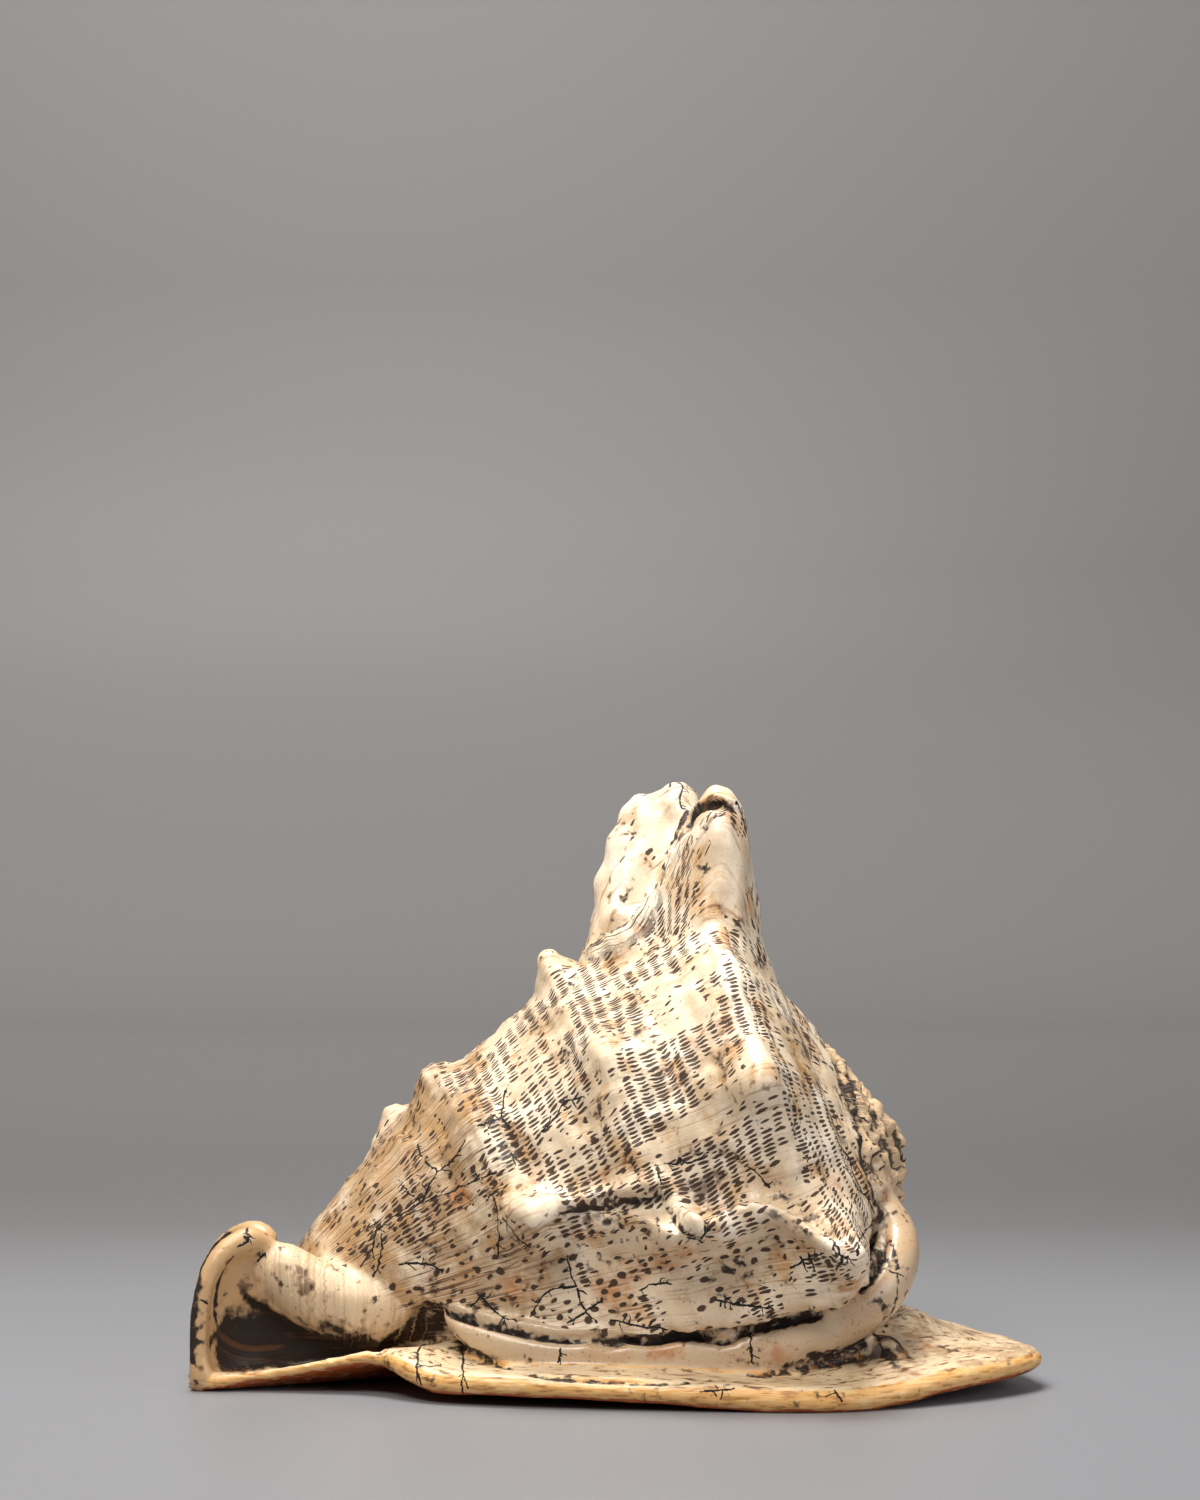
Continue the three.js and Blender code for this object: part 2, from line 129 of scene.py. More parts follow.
def outAt(place):
    # Profile radius at full size; the spire repeats the last whorl, smaller
    place = np.asarray(place, float).copy()
    scale = np.ones_like(place)
    for _ in range(3):
        small = place * scale < coil["suture"]
        scale[small] *= coil["growthPerTurn"]
    tip = place * scale < coil["suture"]
    out = onLine(profile, place * scale) / scale
    out[tip] = place[tip] * profile[0][1] / coil["suture"]
    return out


def coilPoint(turn, distance, out):
    angle = np.radians(turn)
    return (apex + np.multiply.outer(distance, toCanal) + np.multiply.outer(out * np.cos(angle), toShield)
            + np.multiply.outer(out * np.sin(angle), toCrown))


def addNode(tree, kind, links=None, **settings):
    # Adds a node, sets it, links or fills its inputs, and hands back its outputs. A kind without
    # "Node" in it is a shader node's, such as Math.
    node = tree.nodes.new(kind if "Node" in kind else "ShaderNode" + kind)
    for name, value in settings.items():
        setattr(node, name, value)
    for key, value in (links or {}).items():
        if isinstance(value, bpy.types.NodeSocket):
            tree.links.new(value, node.inputs[key])
        else:
            node.inputs[key].default_value = value
    return node.outputs


def newObject(name, points, faces):
    mesh = bpy.data.meshes.new(name)
    mesh.from_pydata([tuple(p) for p in points], [], [tuple(f) for f in faces])
    mesh.update()
    piece = bpy.data.objects.new(name, mesh)
    bpy.context.scene.collection.objects.link(piece)
    return piece


def storeFloats(piece, name, values):
    layer = piece.data.attributes.get(name) or piece.data.attributes.new(name, "FLOAT", "POINT")
    layer.data.foreach_set("value", np.asarray(values, np.float32))


def readPoints(piece):
    places = np.empty(len(piece.data.vertices) * 3)
    piece.data.vertices.foreach_get("co", places)
    return places.reshape(-1, 3)


def applyAll(piece):
    # Turns the modifiers' result into the piece's own plain mesh
    bpy.context.view_layer.update()
    graph = bpy.context.evaluated_depsgraph_get()
    made = bpy.data.meshes.new_from_object(piece.evaluated_get(graph), depsgraph=graph)
    piece.modifiers.clear()
    old = piece.data
    piece.data = made
    made.name = piece.name
    if isinstance(old, bpy.types.Mesh):
        bpy.data.meshes.remove(old)
    return piece


def remesh(piece, size):
    block = piece.modifiers.new("fuse", "REMESH")
    block.mode = "VOXEL"
    block.voxel_size = size * 0.001
    return applyAll(piece)


def cut(piece, cutter):
    saw = piece.modifiers.new("cut", "BOOLEAN")
    saw.operation = "DIFFERENCE"
    saw.solver = "MANIFOLD"
    saw.object = cutter
    applyAll(piece)
    bpy.data.objects.remove(cutter)
    return piece


def joined(name, pieces):
    points, faces, count = [], [], 0
    for piece in pieces:
        places = readPoints(piece)
        points.append(places)
        faces += [tuple(corner + count for corner in face.vertices) for face in piece.data.polygons]
        count += len(places)
    whole = newObject(name, np.vstack(points), faces)
    for piece in pieces:
        bpy.data.objects.remove(piece)
    return whole


def closedGrid(name, grid):
    # grid[row, column] of points; columns go round, and the first and last rows are single points
    rows, columns = grid.shape[:2]
    points = np.vstack([grid[0, :1], grid[1:-1].reshape(-1, 3), grid[-1:, 0]])
    last = len(points) - 1
    at = lambda row, column: 1 + (row - 1) * columns + column % columns
    faces = [(0, at(1, j + 1), at(1, j)) for j in range(columns)]
    for i in range(1, rows - 2):
        faces += [(at(i, j), at(i, j + 1), at(i + 1, j + 1), at(i + 1, j)) for j in range(columns)]
    faces += [(last, at(rows - 2, j), at(rows - 2, j + 1)) for j in range(columns)]
    piece = newObject(name, points, faces)
    turnOutwards(piece)
    return piece


def turnOutwards(piece):
    places = readPoints(piece)
    piece.data.calc_loop_triangles()
    corners = np.array([t.vertices[:] for t in piece.data.loop_triangles])
    a, b, c = places[corners[:, 0]], places[corners[:, 1]], places[corners[:, 2]]
    if np.einsum("ij,ij->i", a, np.cross(b, c)).sum() < 0:
        piece.data.flip_normals()


def treeFor(name, inputs):
    # A geometry node tree with a mesh in, a mesh out and named inputs
    tree = bpy.data.node_groups.new(name, "GeometryNodeTree")
    tree.interface.new_socket("Geometry", in_out="INPUT", socket_type="NodeSocketGeometry")
    tree.interface.new_socket("Geometry", in_out="OUTPUT", socket_type="NodeSocketGeometry")
    for label, kind, value in inputs:
        socket = tree.interface.new_socket(label, in_out="INPUT", socket_type=kind)
        if value is not None:
            socket.default_value = value
    return tree


def runTree(piece, tree, values=None):
    # Inputs are set by their identifiers before the piece is evaluated
    modifier = piece.modifiers.new(tree.name, "NODES")
    modifier.node_group = tree
    for item in tree.interface.items_tree:
        if item.in_out == "INPUT" and values and item.name in values:
            modifier[item.identifier] = values[item.name]
    return applyAll(piece)


shellMatter = bpy.data.materials.new("agedAragonite")

# Whorl: the growing tube, with horns and nodules in rows that wind with it
whorl = {
    "columnStep": 1.1,  # degrees
    "rowStep": 1.1,  # millimetres along the axis
    "oldColumns": 80,
    # turn, along, height, half-width round, to the canal, to the spire, lean along the axis, bluntness
    "knobs": [
        (-14, 33, 18, 14, 15, 11, -7, 1.7),
        (27, 40, 10, 16, 15, 11, -2, 2.2),
        (60, 40, 5, 26, 13, 11, -3, 2.0),
        (87, 41, 37.5, 17, 16, 12, -19, 3.0),
        (86, 56, 8, 9, 15, 12, -3, 2.0),
        (84, 72, 4, 9, 14, 12, 0, 2.0),
        (112, 49, 50, 16.5, 24, 17, -13, 2.9),
        (111, 70, 19, 17, 13, 12, -2, 2.8),
        (146, 47, 24, 20, 19, 14, -9, 2),
        (180, 52, 13, 20, 18, 15, -5, 2),
        (1, 74, 10, 9, 12, 11, 3, 1.3),
        (46, 82, 4, 16, 12, 12, 0, 2),
        (91, 92, 11, 10, 8, 8, 1, 1.7),
        (132, 104, 8, 14, 11, 11, 0, 1.8),
        (172, 112, 5, 15, 12, 12, 0, 1.8),
        (16, 119, 9, 10, 9, 10, 2, 2.2),
        (50, 128, 3, 14, 11, 11, 0, 2),
        (89, 140, 6, 11, 9, 9, 1, 1.8),
        (119, 159, 9, 12, 9, 9, 0, 1.8),
    ],
    # place along the axis at full size, height, half-width
    "keels": [(42, 3, 10), (92, 2.5, 9), (138, 2, 8)],
    "rowSpacing": 5.4,  # millimetres between rows of pits near the shoulder
    "rowCrowding": 3.0,
    "spireKnobs": {"perTurn": 8, "height": 2.4, "place": 13.5, "width": 2.6},
}


def bell(distance, blunt):
    return np.exp(-1.4 * np.abs(distance) ** blunt)


def whorlRelief(turn, distance, out):
    rise = np.zeros_like(out)
    lean = np.zeros_like(out)
    for knobTurn, knobAlong, height, across, length, behind, leans, blunt in whorl["knobs"]:
        sideways = np.radians(turn - knobTurn) * out / across
        lengthwise = (distance - knobAlong) / np.where(distance > knobAlong, length, behind)
        share = bell(np.hypot(sideways, lengthwise), blunt)
        rise += height * share
        lean += leans * share
    for place, height, width in whorl["keels"]:
        rise += height * bell((distance / stageScale(turn) - place) / width, 2)
    below = np.radians(onLine(fold["path"], distance) - turn) * out
    onFold = smoothstep(distance, 22, 34) * (1 - smoothstep(distance, 122, 142))
    rise += onFold * fold["height"] * bell(below / fold["width"], 2)
    rise -= onFold * fold["sink"] * smoothstep(below, 0, fold["sinkWidth"])
    return rise, lean


def growthTree():
    # Every point of the whorl from where it is on the growing edge and how far the edge has turned
    tree = treeFor("whorlGrowth", [
        ("Growth per turn", "NodeSocketFloat", coil["growthPerTurn"]),
        ("Full size at", "NodeSocketFloat", coil["fullSizeAt"]),
        ("Columella length", "NodeSocketFloat", coil["length"]),
        ("Apex", "NodeSocketVector", tuple(apex)),
        ("Towards the canal", "NodeSocketVector", tuple(toCanal)),
        ("Towards the crown", "NodeSocketVector", tuple(toCrown)),
        ("Box middle", "NodeSocketVector", tuple(boxMiddle)),
    ])
    add = partial(addNode, tree)
    given = add("NodeGroupInput")
    named = {}
    for name in ("turn", "stage", "place", "rest", "rise", "lean"):
        named[name] = add("GeometryNodeInputNamedAttribute", {"Name": name}, data_type="FLOAT")[0]
    share = add("Math", {0: named["stage"], 1: given["Full size at"]}, operation="SUBTRACT")[0]
    share = add("Math", {0: share, 1: 360.0}, operation="DIVIDE")[0]
    scale = add("Math", {0: given["Growth per turn"], 1: share}, operation="POWER")[0]
    depth = add("Math", {0: named["place"], 1: given["Columella length"]}, operation="DIVIDE")[0]
    depth = add("Math", {0: depth, 1: 2.0}, operation="POWER")[0]
    power = add("Math", {0: 1.0, 1: depth}, operation="SUBTRACT")[0]
    reach = add("Math", {0: scale, 1: power}, operation="POWER")[0]
    down = add("Math", {0: named["place"], 1: reach, 2: named["lean"]}, operation="MULTIPLY_ADD")[0]
    out = add("Math", {0: named["rest"], 1: scale, 2: named["rise"]}, operation="MULTIPLY_ADD")[0]
    out = add("Math", {0: out, 1: 0.0}, operation="MAXIMUM")[0]
    angle = add("Math", {0: named["turn"]}, operation="RADIANS")[0]
    near = add("Math", {0: angle}, operation="COSINE")[0]
    near = add("Math", {0: near, 1: out}, operation="MULTIPLY")[0]
    up = add("Math", {0: angle}, operation="SINE")[0]
    up = add("Math", {0: up, 1: out}, operation="MULTIPLY")[0]
    point = add("VectorMath", {0: given["Towards the canal"], "Scale": down}, operation="SCALE")[0]
    side = add("VectorMath", {0: tuple(toShield), "Scale": near}, operation="SCALE")[0]
    crown = add("VectorMath", {0: given["Towards the crown"], "Scale": up}, operation="SCALE")[0]
    for part in (side, crown, given["Apex"]):
        point = add("VectorMath", {0: point, 1: part}, operation="ADD")[0]
    point = add("VectorMath", {0: point, 1: given["Box middle"]}, operation="SUBTRACT")[0]
    point = add("VectorMath", {0: point, "Scale": 0.001}, operation="SCALE")[0]
    moved = add("GeometryNodeSetPosition", {"Geometry": given["Geometry"], "Position": point})[0]
    real = add("GeometryNodeRealizeInstances", {"Geometry": moved})[0]
    done = add("GeometryNodeSetMaterial", {"Geometry": real, "Material": shellMatter})[0]
    add("NodeGroupOutput", {"Geometry": done})
    return tree


def makeWhorl():
    places = np.concatenate([
        [0, 2.5, 4.2, 5.7, 6.2, 7.4, 8.6, 9.5, 10, 11, 12, 13, 14, 15, 15.7, 16.2],
        np.arange(17, coil["length"] - 1, whorl["rowStep"]), [coil["length"]],
    ])
    newCount = int((coil["lipEnd"] + 30) / whorl["columnStep"])
    fresh = np.linspace(0, 1, newCount)
    old = np.linspace(0, 1, whorl["oldColumns"])
    start = onLine(hem["path"], alongAt(places, 0.86))[:, None]
    turnNew = start + (coil["lipEnd"] - start) * fresh[None, :]
    turnOld = coil["lipEnd"] + 1 + (359 + start - coil["lipEnd"] - 1) * old[None, :]
    turn = np.hstack([turnNew, turnOld])
    stage = np.hstack([turnNew, turnOld - 360])
    place = np.repeat(places[:, None], turn.shape[1], 1)
    scale = stageScale(stage)
    distance = alongAt(place, scale)
    rest = outAt(place)
    out = rest * scale
    rise, lean = whorlRelief(stage, distance, out)
    onWhorl = place > coil["suture"]
    isNew = np.arange(turn.shape[1])[None, :] < newCount
    step = hem["step"] * smoothstep(distance, 16, 24) * (1 - smoothstep(distance, 150, 190))
    flaring = smoothstep(distance, 22, 40) * (1 - smoothstep(distance, 118, 150))
    flare = hem["flare"] * flaring * np.exp(-((stage - start) / hem["flareTurn"]) ** 2)
    rise = np.where(isNew, rise * onWhorl + flare, -step)
    lean = np.where(isNew & onWhorl, lean, 0)
    knobs = whorl["spireKnobs"]
    wave = np.cos(np.radians(turn * knobs["perTurn"])) ** 2
    rise += ~onWhorl * knobs["height"] * wave * bell((place - knobs["place"]) / knobs["width"], 2)
    rise[[0, -1]] = 0
    lean[[0, -1]] = 0
    piece = closedGrid("whorl", coilPoint(turn, distance, out))
    pick = lambda values: np.concatenate([values[0, :1], values[1:-1].ravel(), values[-1, :1]])
    inputs = {"turn": turn, "stage": stage, "place": place, "rest": rest, "rise": rise, "lean": lean}
    for name, values in inputs.items():
        storeFloats(piece, name, pick(values))
    runTree(piece, growthTree())
    turnOutwards(piece)
    # Rows of pits lie closer together towards the canal; the steps say how many millimetres a row
    # and a degree of growth take up on the horns and between them
    row = place / whorl["rowSpacing"] + whorl["rowCrowding"] * (place / 100) ** 2
    formed = coilPoint(turn, distance + lean, np.maximum(out + rise, 0))
    steps = []
    for axis, counted, least in ((0, row, 0.01), (1, stage, 0.05)):
        moved = np.linalg.norm(np.gradient(formed, axis=axis), axis=-1)
        steps.append(moved / np.maximum(np.gradient(counted, axis=axis), least))
    growth = np.stack([pick(values) for values in (row, stage, place, *steps)], 1)
    print("whorl:", len(piece.data.polygons), "faces")
    return piece, growth


# Shield: the broad face underneath, with a rounded rim and a fillet up to the whorl
shield = {
    "centre": (0.0, 5.0),
    "arch": 2.5,
    # x, y, lowest z, thickness round the rim
    "rim": [
        (-131, -32, -0.5, 4.5), (-117, -36, 2.5, 4), (-103, -38, 5, 4), (-90, -40, 7.5, 4), (-79, -42, 9, 5),
        (-71, -47, 8, 7), (-65, -54, 5.5, 7.5), (-57, -60.5, 3.2, 7.5), (-40, -68, 3, 7.5),
        (-4, -76, 2.6, 7.5), (27, -80, 0.9, 8), (57, -82, -1, 9), (78, -78, -1, 9), (103, -63, 2.6, 8.5),
        (123, -46, 4.2, 8.5), (135, -28, 4.6, 8.5), (134, -10, 4.4, 8), (128, 12, 4, 8), (119, 34, 3, 9),
        (109, 56, 2, 11), (96, 78, 0.5, 13), (78, 96, -1, 14), (52, 107, -1.6, 15), (25, 111, -1.6, 15),
        (-5, 108, -1.6, 15), (-35, 99, -1.2, 14), (-62, 83, -0.4, 13), (-84, 63, 0.5, 11), (-104, 40, 1, 9),
        (-120, 18, 0.8, 7), (-132, 2, 0.2, 6),
    ],
    "skirt": {"centre": (18.0, 2.0), "half": (80.0, 56.0), "rise": 14.0, "reach": 11.0, "frontShare": 0.3},
}


def roundLoop(rows, count):
    # Closed smooth curve through rows, by centripetal distances
    rows = np.array(rows, float)
    loop = np.vstack([rows[-2:], rows, rows[:3]])
    gaps = np.linalg.norm(np.diff(loop[:, :2], axis=0), axis=1) ** 0.5
    knots = np.concatenate([[0], np.cumsum(gaps)])
    start, end = knots[2], knots[2 + len(rows)]
    at = np.linspace(start, end, count, endpoint=False)
    return np.stack([onLine(np.stack([knots, loop[:, k]], 1), at) for k in range(rows.shape[1])], 1)


def makeShield():
    rim = roundLoop(shield["rim"], 420)
    shares = np.linspace(0, 1, 46)
    across = np.sin(shares * math.pi / 2)[:, None]
    x = shield["centre"][0] + (rim[:, 0] - shield["centre"][0]) * across
    y = shield["centre"][1] + (rim[:, 1] - shield["centre"][1]) * across
    bottom = rim[:, 2] * across
    thickness = 5 + (rim[:, 3] - 5) * across
    edge = smoothstep(across, 0.965, 1) ** 1.6 * 0.36
    low = bottom + shield["arch"] * (1 - across**2) + thickness * edge
    skirt = shield["skirt"]
    (middleX, middleY), (halfX, halfY) = skirt["centre"], skirt["half"]
    away = np.hypot((x - middleX) / halfX, (y - middleY) / halfY) - 1
    climb = np.where(x > -70, skirt["rise"] * np.exp(-np.abs(away) * halfY / skirt["reach"]), 0)
    climb *= smoothstep(x, -78, -58)
    front = (1 - smoothstep(y, -10, 20)) * (1 - smoothstep(x, 52, 88))
    climb *= 1 - (1 - skirt["frontShare"]) * front
    high = bottom + thickness * (1 - edge) + climb * (1 - across**6)
    under = np.stack([x, y, low], -1)
    top = np.stack([x, y, high], -1)[::-1]
    piece = closedGrid("shieldFace", toMetres(np.vstack([under, top])))
    print("shield:", len(piece.data.polygons), "faces")
    return piece


# Rolled edges and cords: x, y, z and radius along each
rolls = {
    "oldLip": [
        (-54, -36, 26, 1.5), (-45, -40, 20.5, 5), (-32, -44, 16.8, 7.5), (-16, -47.5, 14.6, 8.6),
        (2, -49, 13.4, 9), (21, -50, 13.2, 9), (39, -51, 15.2, 9.2), (55, -51, 19, 9.4), (70, -49, 25, 9.5),
        (82.5, -44, 33.5, 9), (88.5, -36, 43, 7.5), (88.5, -29, 50, 6.5), (85, -25, 57, 5.5),
        (82, -24, 64, 5), (79, -24, 71, 4), (77, -25, 77, 2.5),
    ],
    "outerLip": [
        (72, 44, 31, 5), (83, 58, 20, 8), (84, 74, 14, 10), (70, 89, 12, 11), (50, 97, 11.5, 11),
        (25, 100, 11.5, 11.5), (-5, 97, 11.5, 11.5), (-35, 88, 11, 11), (-62, 73, 10.5, 10),
        (-84, 54, 9.5, 8.5), (-104, 32, 9, 7), (-120, 12, 9, 6),
    ],
    "fasciole": [
        (-48, -6, 22, 9), (-60, -14, 24, 11.5), (-73, -19, 24.5, 12), (-84, -20, 26, 11.5),
        (-95, -20, 30, 10.5), (-104, -20, 36.5, 9), (-111, -20, 42, 7.5),
    ],
    "nearWall": [
        (-129, -31, -2, 3.6), (-129.5, -32, 13, 3.1), (-129, -32, 25, 3.1), (-126.5, -31, 35.5, 3.1),
        (-121, -28, 43.5, 3.6), (-114, -23, 45.5, 4.5), (-108, -18, 42, 5),
    ],
    "farWall": [
        (-131, 0, -2, 3.4), (-132, 2, 14.5, 3.2), (-131, 2, 27, 3.2), (-126.5, 0, 38.5, 3.4),
        (-119, -4, 45.5, 3.8), (-113, -9, 46, 5), (-108, -14, 42, 5),
    ],
    "canalBack": [
        (-56, 6, 13, 15), (-78, -2, 13, 15), (-96, -8, 15, 15), (-108, -12, 22, 15), (-113, -14, 32, 13),
        (-114, -15, 41, 8),
    ],
    "canalBore": [
        (-50, 14, 4, 7), (-76, 4, 3.5, 6.5), (-98, 0, 6, 6), (-114, -5, 15, 6.5), (-123, -8, 27, 7),
        (-129, -10, 38, 8), (-135, -12, 48, 8),
    ],
}


def makeRoll(name, rows):
    # A bevelled curve with its own radius at each point, closed by round ends
    rows = np.array(rows, float)
    knots = np.concatenate([[0], np.cumsum(np.linalg.norm(np.diff(rows[:, :3], axis=0), axis=1))])
    count = max(24, int(knots[-1] / 2))
    share = np.linspace(0, 1, count)
    at = knots[-1] * (0.6 * share + 0.4 * (0.5 - 0.5 * np.cos(math.pi * share)))
    line = np.stack([onLine(np.stack([knots, rows[:, k]], 1), at) for k in range(4)], 1)
    radius = line[:, 3]
    ends = np.minimum(at, knots[-1] - at)
    blunt = np.clip(ends / radius, 0, 1)
    radius = radius * np.sqrt(np.clip(1 - (1 - blunt) ** 2, 0.0004, 1))
    curve = bpy.data.curves.new(name, "CURVE")
    curve.dimensions = "3D"
    curve.bevel_depth = 0.001
    curve.bevel_resolution = 10
    curve.use_fill_caps = True
    strand = curve.splines.new("POLY")
    strand.points.add(count - 1)
    spots = toMetres(line[:, :3])
    for point, spot, size in zip(strand.points, spots, radius):
        point.co = (*spot, 1)
        point.radius = size
    source = bpy.data.objects.new(name, curve)
    bpy.context.scene.collection.objects.link(source)
    graph = bpy.context.evaluated_depsgraph_get()
    mesh = bpy.data.meshes.new_from_object(source.evaluated_get(graph), depsgraph=graph)
    bpy.data.objects.remove(source)
    piece = bpy.data.objects.new(name, mesh)
    bpy.context.scene.collection.objects.link(piece)
    weld = piece.modifiers.new("weld", "WELD")
    weld.merge_threshold = 0.000005
    applyAll(piece)
    turnOutwards(piece)
    return piece


def makeBall(name, centre, half, tiltY=0.0, turnZ=0.0, detail=24):
    up = np.linspace(0, math.pi, detail)
    about = np.linspace(0, 2 * math.pi, detail * 2, endpoint=False)
    pairs = ((np.sin(up), np.cos(about)), (np.sin(up), np.sin(about)), (np.cos(up), np.ones_like(about)))
    grid = np.stack([np.multiply.outer(first, second) for first, second in pairs], -1) * np.array(half)
    c, s = math.cos(tiltY), math.sin(tiltY)
    grid = grid @ np.array([[c, 0, -s], [0, 1, 0], [s, 0, c]])
    c, s = math.cos(turnZ), math.sin(turnZ)
    grid = grid @ np.array([[c, s, 0], [-s, c, 0], [0, 0, 1]])
    return closedGrid(name, toMetres(grid + np.array(centre)))


# Aperture: the slit in the underside, the chamber behind it and the teeth along both edges
aperture = {
    "outline": [
        (-122, -18), (-100, -12), (-80, -2), (-60, 8), (-35, 18), (-5, 26), (25, 31), (50, 34), (68, 38),
        (75, 46), (66, 54), (45, 58), (20, 60), (-5, 57), (-30, 48), (-55, 33), (-78, 16), (-98, 2),
        (-122, -6),
    ],
    "top": 27.0,
    # mouth and end are turns in degrees, near and far places along the axis
    "chamber": {"mouth": 214.0, "end": -112.0, "near": 29.0, "far": 192.0, "inner": 0.2, "wall": 7.0,
                "deepWall": 13.0, "fullness": 0.55},
    "outerTeeth": {
        "edge": [(-34, 46.5), (-17, 53), (-2, 57.5), (14, 60), (30, 59.5), (47, 57)],
        "spacing": 11.5, "length": 9.0, "width": 4.0, "height": 6.5, "seed": 3,
    },
    "innerFolds": {
        "edge": [(-66, 5), (-50, 12), (-36, 17), (-20, 22), (-5, 26), (12, 29)],
        "spacing": 8.0, "length": 6.5, "width": 2.6, "height": 5.0, "seed": 8,
    },
}


def makeSlit():
    ring = roundLoop(aperture["outline"], 160)
    heights = (-9.0, 6.0, aperture["top"])
    count = len(ring)
    points = np.vstack([np.hstack([ring, np.full((count, 1), z)]) for z in heights])
    faces = [tuple(range(count))[::-1], tuple(range(2 * count, 3 * count))]
    for level in (0, count):
        faces += [(level + i, level + (i + 1) % count, level + count + (i + 1) % count, level + count + i)
                  for i in range(count)]
    piece = newObject("slit", toMetres(points), faces)
    turnOutwards(piece)
    return piece


def makeChamber():
    room = aperture["chamber"]
    v = np.linspace(0, 1, 160)[:, None]
    angle = np.linspace(0, 2 * math.pi, 90, endpoint=False)[None, :]
    full = lambda value: np.sign(value) * np.abs(value) ** room["fullness"]
    turn = room["mouth"] + (room["end"] - room["mouth"]) * v + 0 * angle
    scale = stageScale(turn)
    closing = np.sqrt(np.clip(1 - (2 * v - 1) ** 12, 0, 1))
    half = (room["far"] - room["near"]) / 2
    place = (room["near"] + room["far"]) / 2 - 8 * v + (1 - 0.2 * v) * closing * half * full(np.cos(angle))
    skin = outAt(place.ravel()).reshape(place.shape)
    thick = room["wall"] + (room["deepWall"] - room["wall"]) * smoothstep(10 - turn, 0, 35)
    wall = np.maximum(skin - thick / scale, skin * 0.5)
    inner = wall * room["inner"]
    out = inner + (wall - inner) * (0.5 + 0.5 * closing * full(np.sin(angle)))
    return closedGrid("chamber", toMetres(coilPoint(turn, alongAt(place, scale), out * scale)))


def toothTree():
    # Rounded teeth set out along an edge, each a little different
    tree = treeFor("toothRow", [
        ("Spacing", "NodeSocketFloat", 0.01), ("Length", "NodeSocketFloat", 0.008),
        ("Width", "NodeSocketFloat", 0.004), ("Height", "NodeSocketFloat", 0.006),
        ("Seed", "NodeSocketInt", 1),
    ])
    add = partial(addNode, tree)
    given = add("NodeGroupInput")
    line = add("GeometryNodeMeshToCurve", {"Mesh": given["Geometry"]})[0]
    line = add("GeometryNodeResampleCurve", {"Curve": line, "Length": given["Spacing"]}, mode="LENGTH")[0]
    ball = add("GeometryNodeMeshUVSphere", {"Segments": 20, "Rings": 14, "Radius": 1.0})[0]
    size = add("CombineXYZ", {0: given["Width"], 1: given["Length"], 2: given["Height"]})[0]
    ranges = {"Min": (0.8, 0.75, 0.85), "Max": (1.2, 1.15, 1.1), "Seed": given["Seed"]}
    vary = add("FunctionNodeRandomValue", ranges, data_type="FLOAT_VECTOR")[0]
    size = add("VectorMath", {0: size, 1: vary}, operation="MULTIPLY")[0]
    along = add("GeometryNodeInputTangent")[0]
    turned = add("FunctionNodeAlignRotationToVector", {"Vector": along}, axis="X", pivot_axis="Z")[0]
    placed = {"Points": line, "Instance": ball, "Rotation": turned, "Scale": size}
    row = add("GeometryNodeInstanceOnPoints", placed)[0]
    real = add("GeometryNodeRealizeInstances", {"Geometry": row})[0]
    done = add("GeometryNodeSetMaterial", {"Geometry": real, "Material": shellMatter})[0]
    add("NodeGroupOutput", {"Geometry": done})
    return tree


def makeTeeth(name, tree, row):
    edge = [(x, y, 5.5) for x, y in row["edge"]]
    mesh = bpy.data.meshes.new(name)
    mesh.from_pydata([tuple(p) for p in toMetres(edge)], [(i, i + 1) for i in range(len(edge) - 1)], [])
    piece = bpy.data.objects.new(name, mesh)
    bpy.context.scene.collection.objects.link(piece)
    sizes = {key.capitalize(): row[key] * 0.001 for key in ("spacing", "length", "width", "height")}
    runTree(piece, tree, {**sizes, "Seed": row["seed"]})
    return piece


# Camera: level, at the height of the crown, with a long lens
camera = {"place": (-3.84, -1440.0, 200.4), "lens": 108.0, "sensor": 36.0, "picture": (1200, 1500)}


def seenThrough(pixels, surface):
    # Where the camera's rays through the photo's pixels first meet the shell, and the normals there
    eye = Vector(toMetres([camera["place"]])[0])
    longest = max(camera["picture"])
    focal = camera["lens"] / camera["sensor"] * longest
    spots, normals = [], []
    for x, y in pixels:
        ray = Vector((x - camera["picture"][0] / 2, focal, camera["picture"][1] / 2 - y)).normalized()
        spot, normal = surface.ray_cast(eye, ray)[:2]
        if spot is not None:
            spots.append(spot)
            normals.append(normal)
    return np.array(spots), np.array(normals)


def smoothPath(rows, step):
    # The same path with points every few units, curved through its corners
    rows = np.array(rows, float)
    knots = np.concatenate([[0], np.cumsum(np.linalg.norm(np.diff(rows, axis=0), axis=1))])
    count = max(3, int(knots[-1] / step) + 1)
    at = np.linspace(0, knots[-1], count)
    return np.stack([onLine(np.stack([knots, rows[:, k]], 1), at) for k in range(rows.shape[1])], 1)


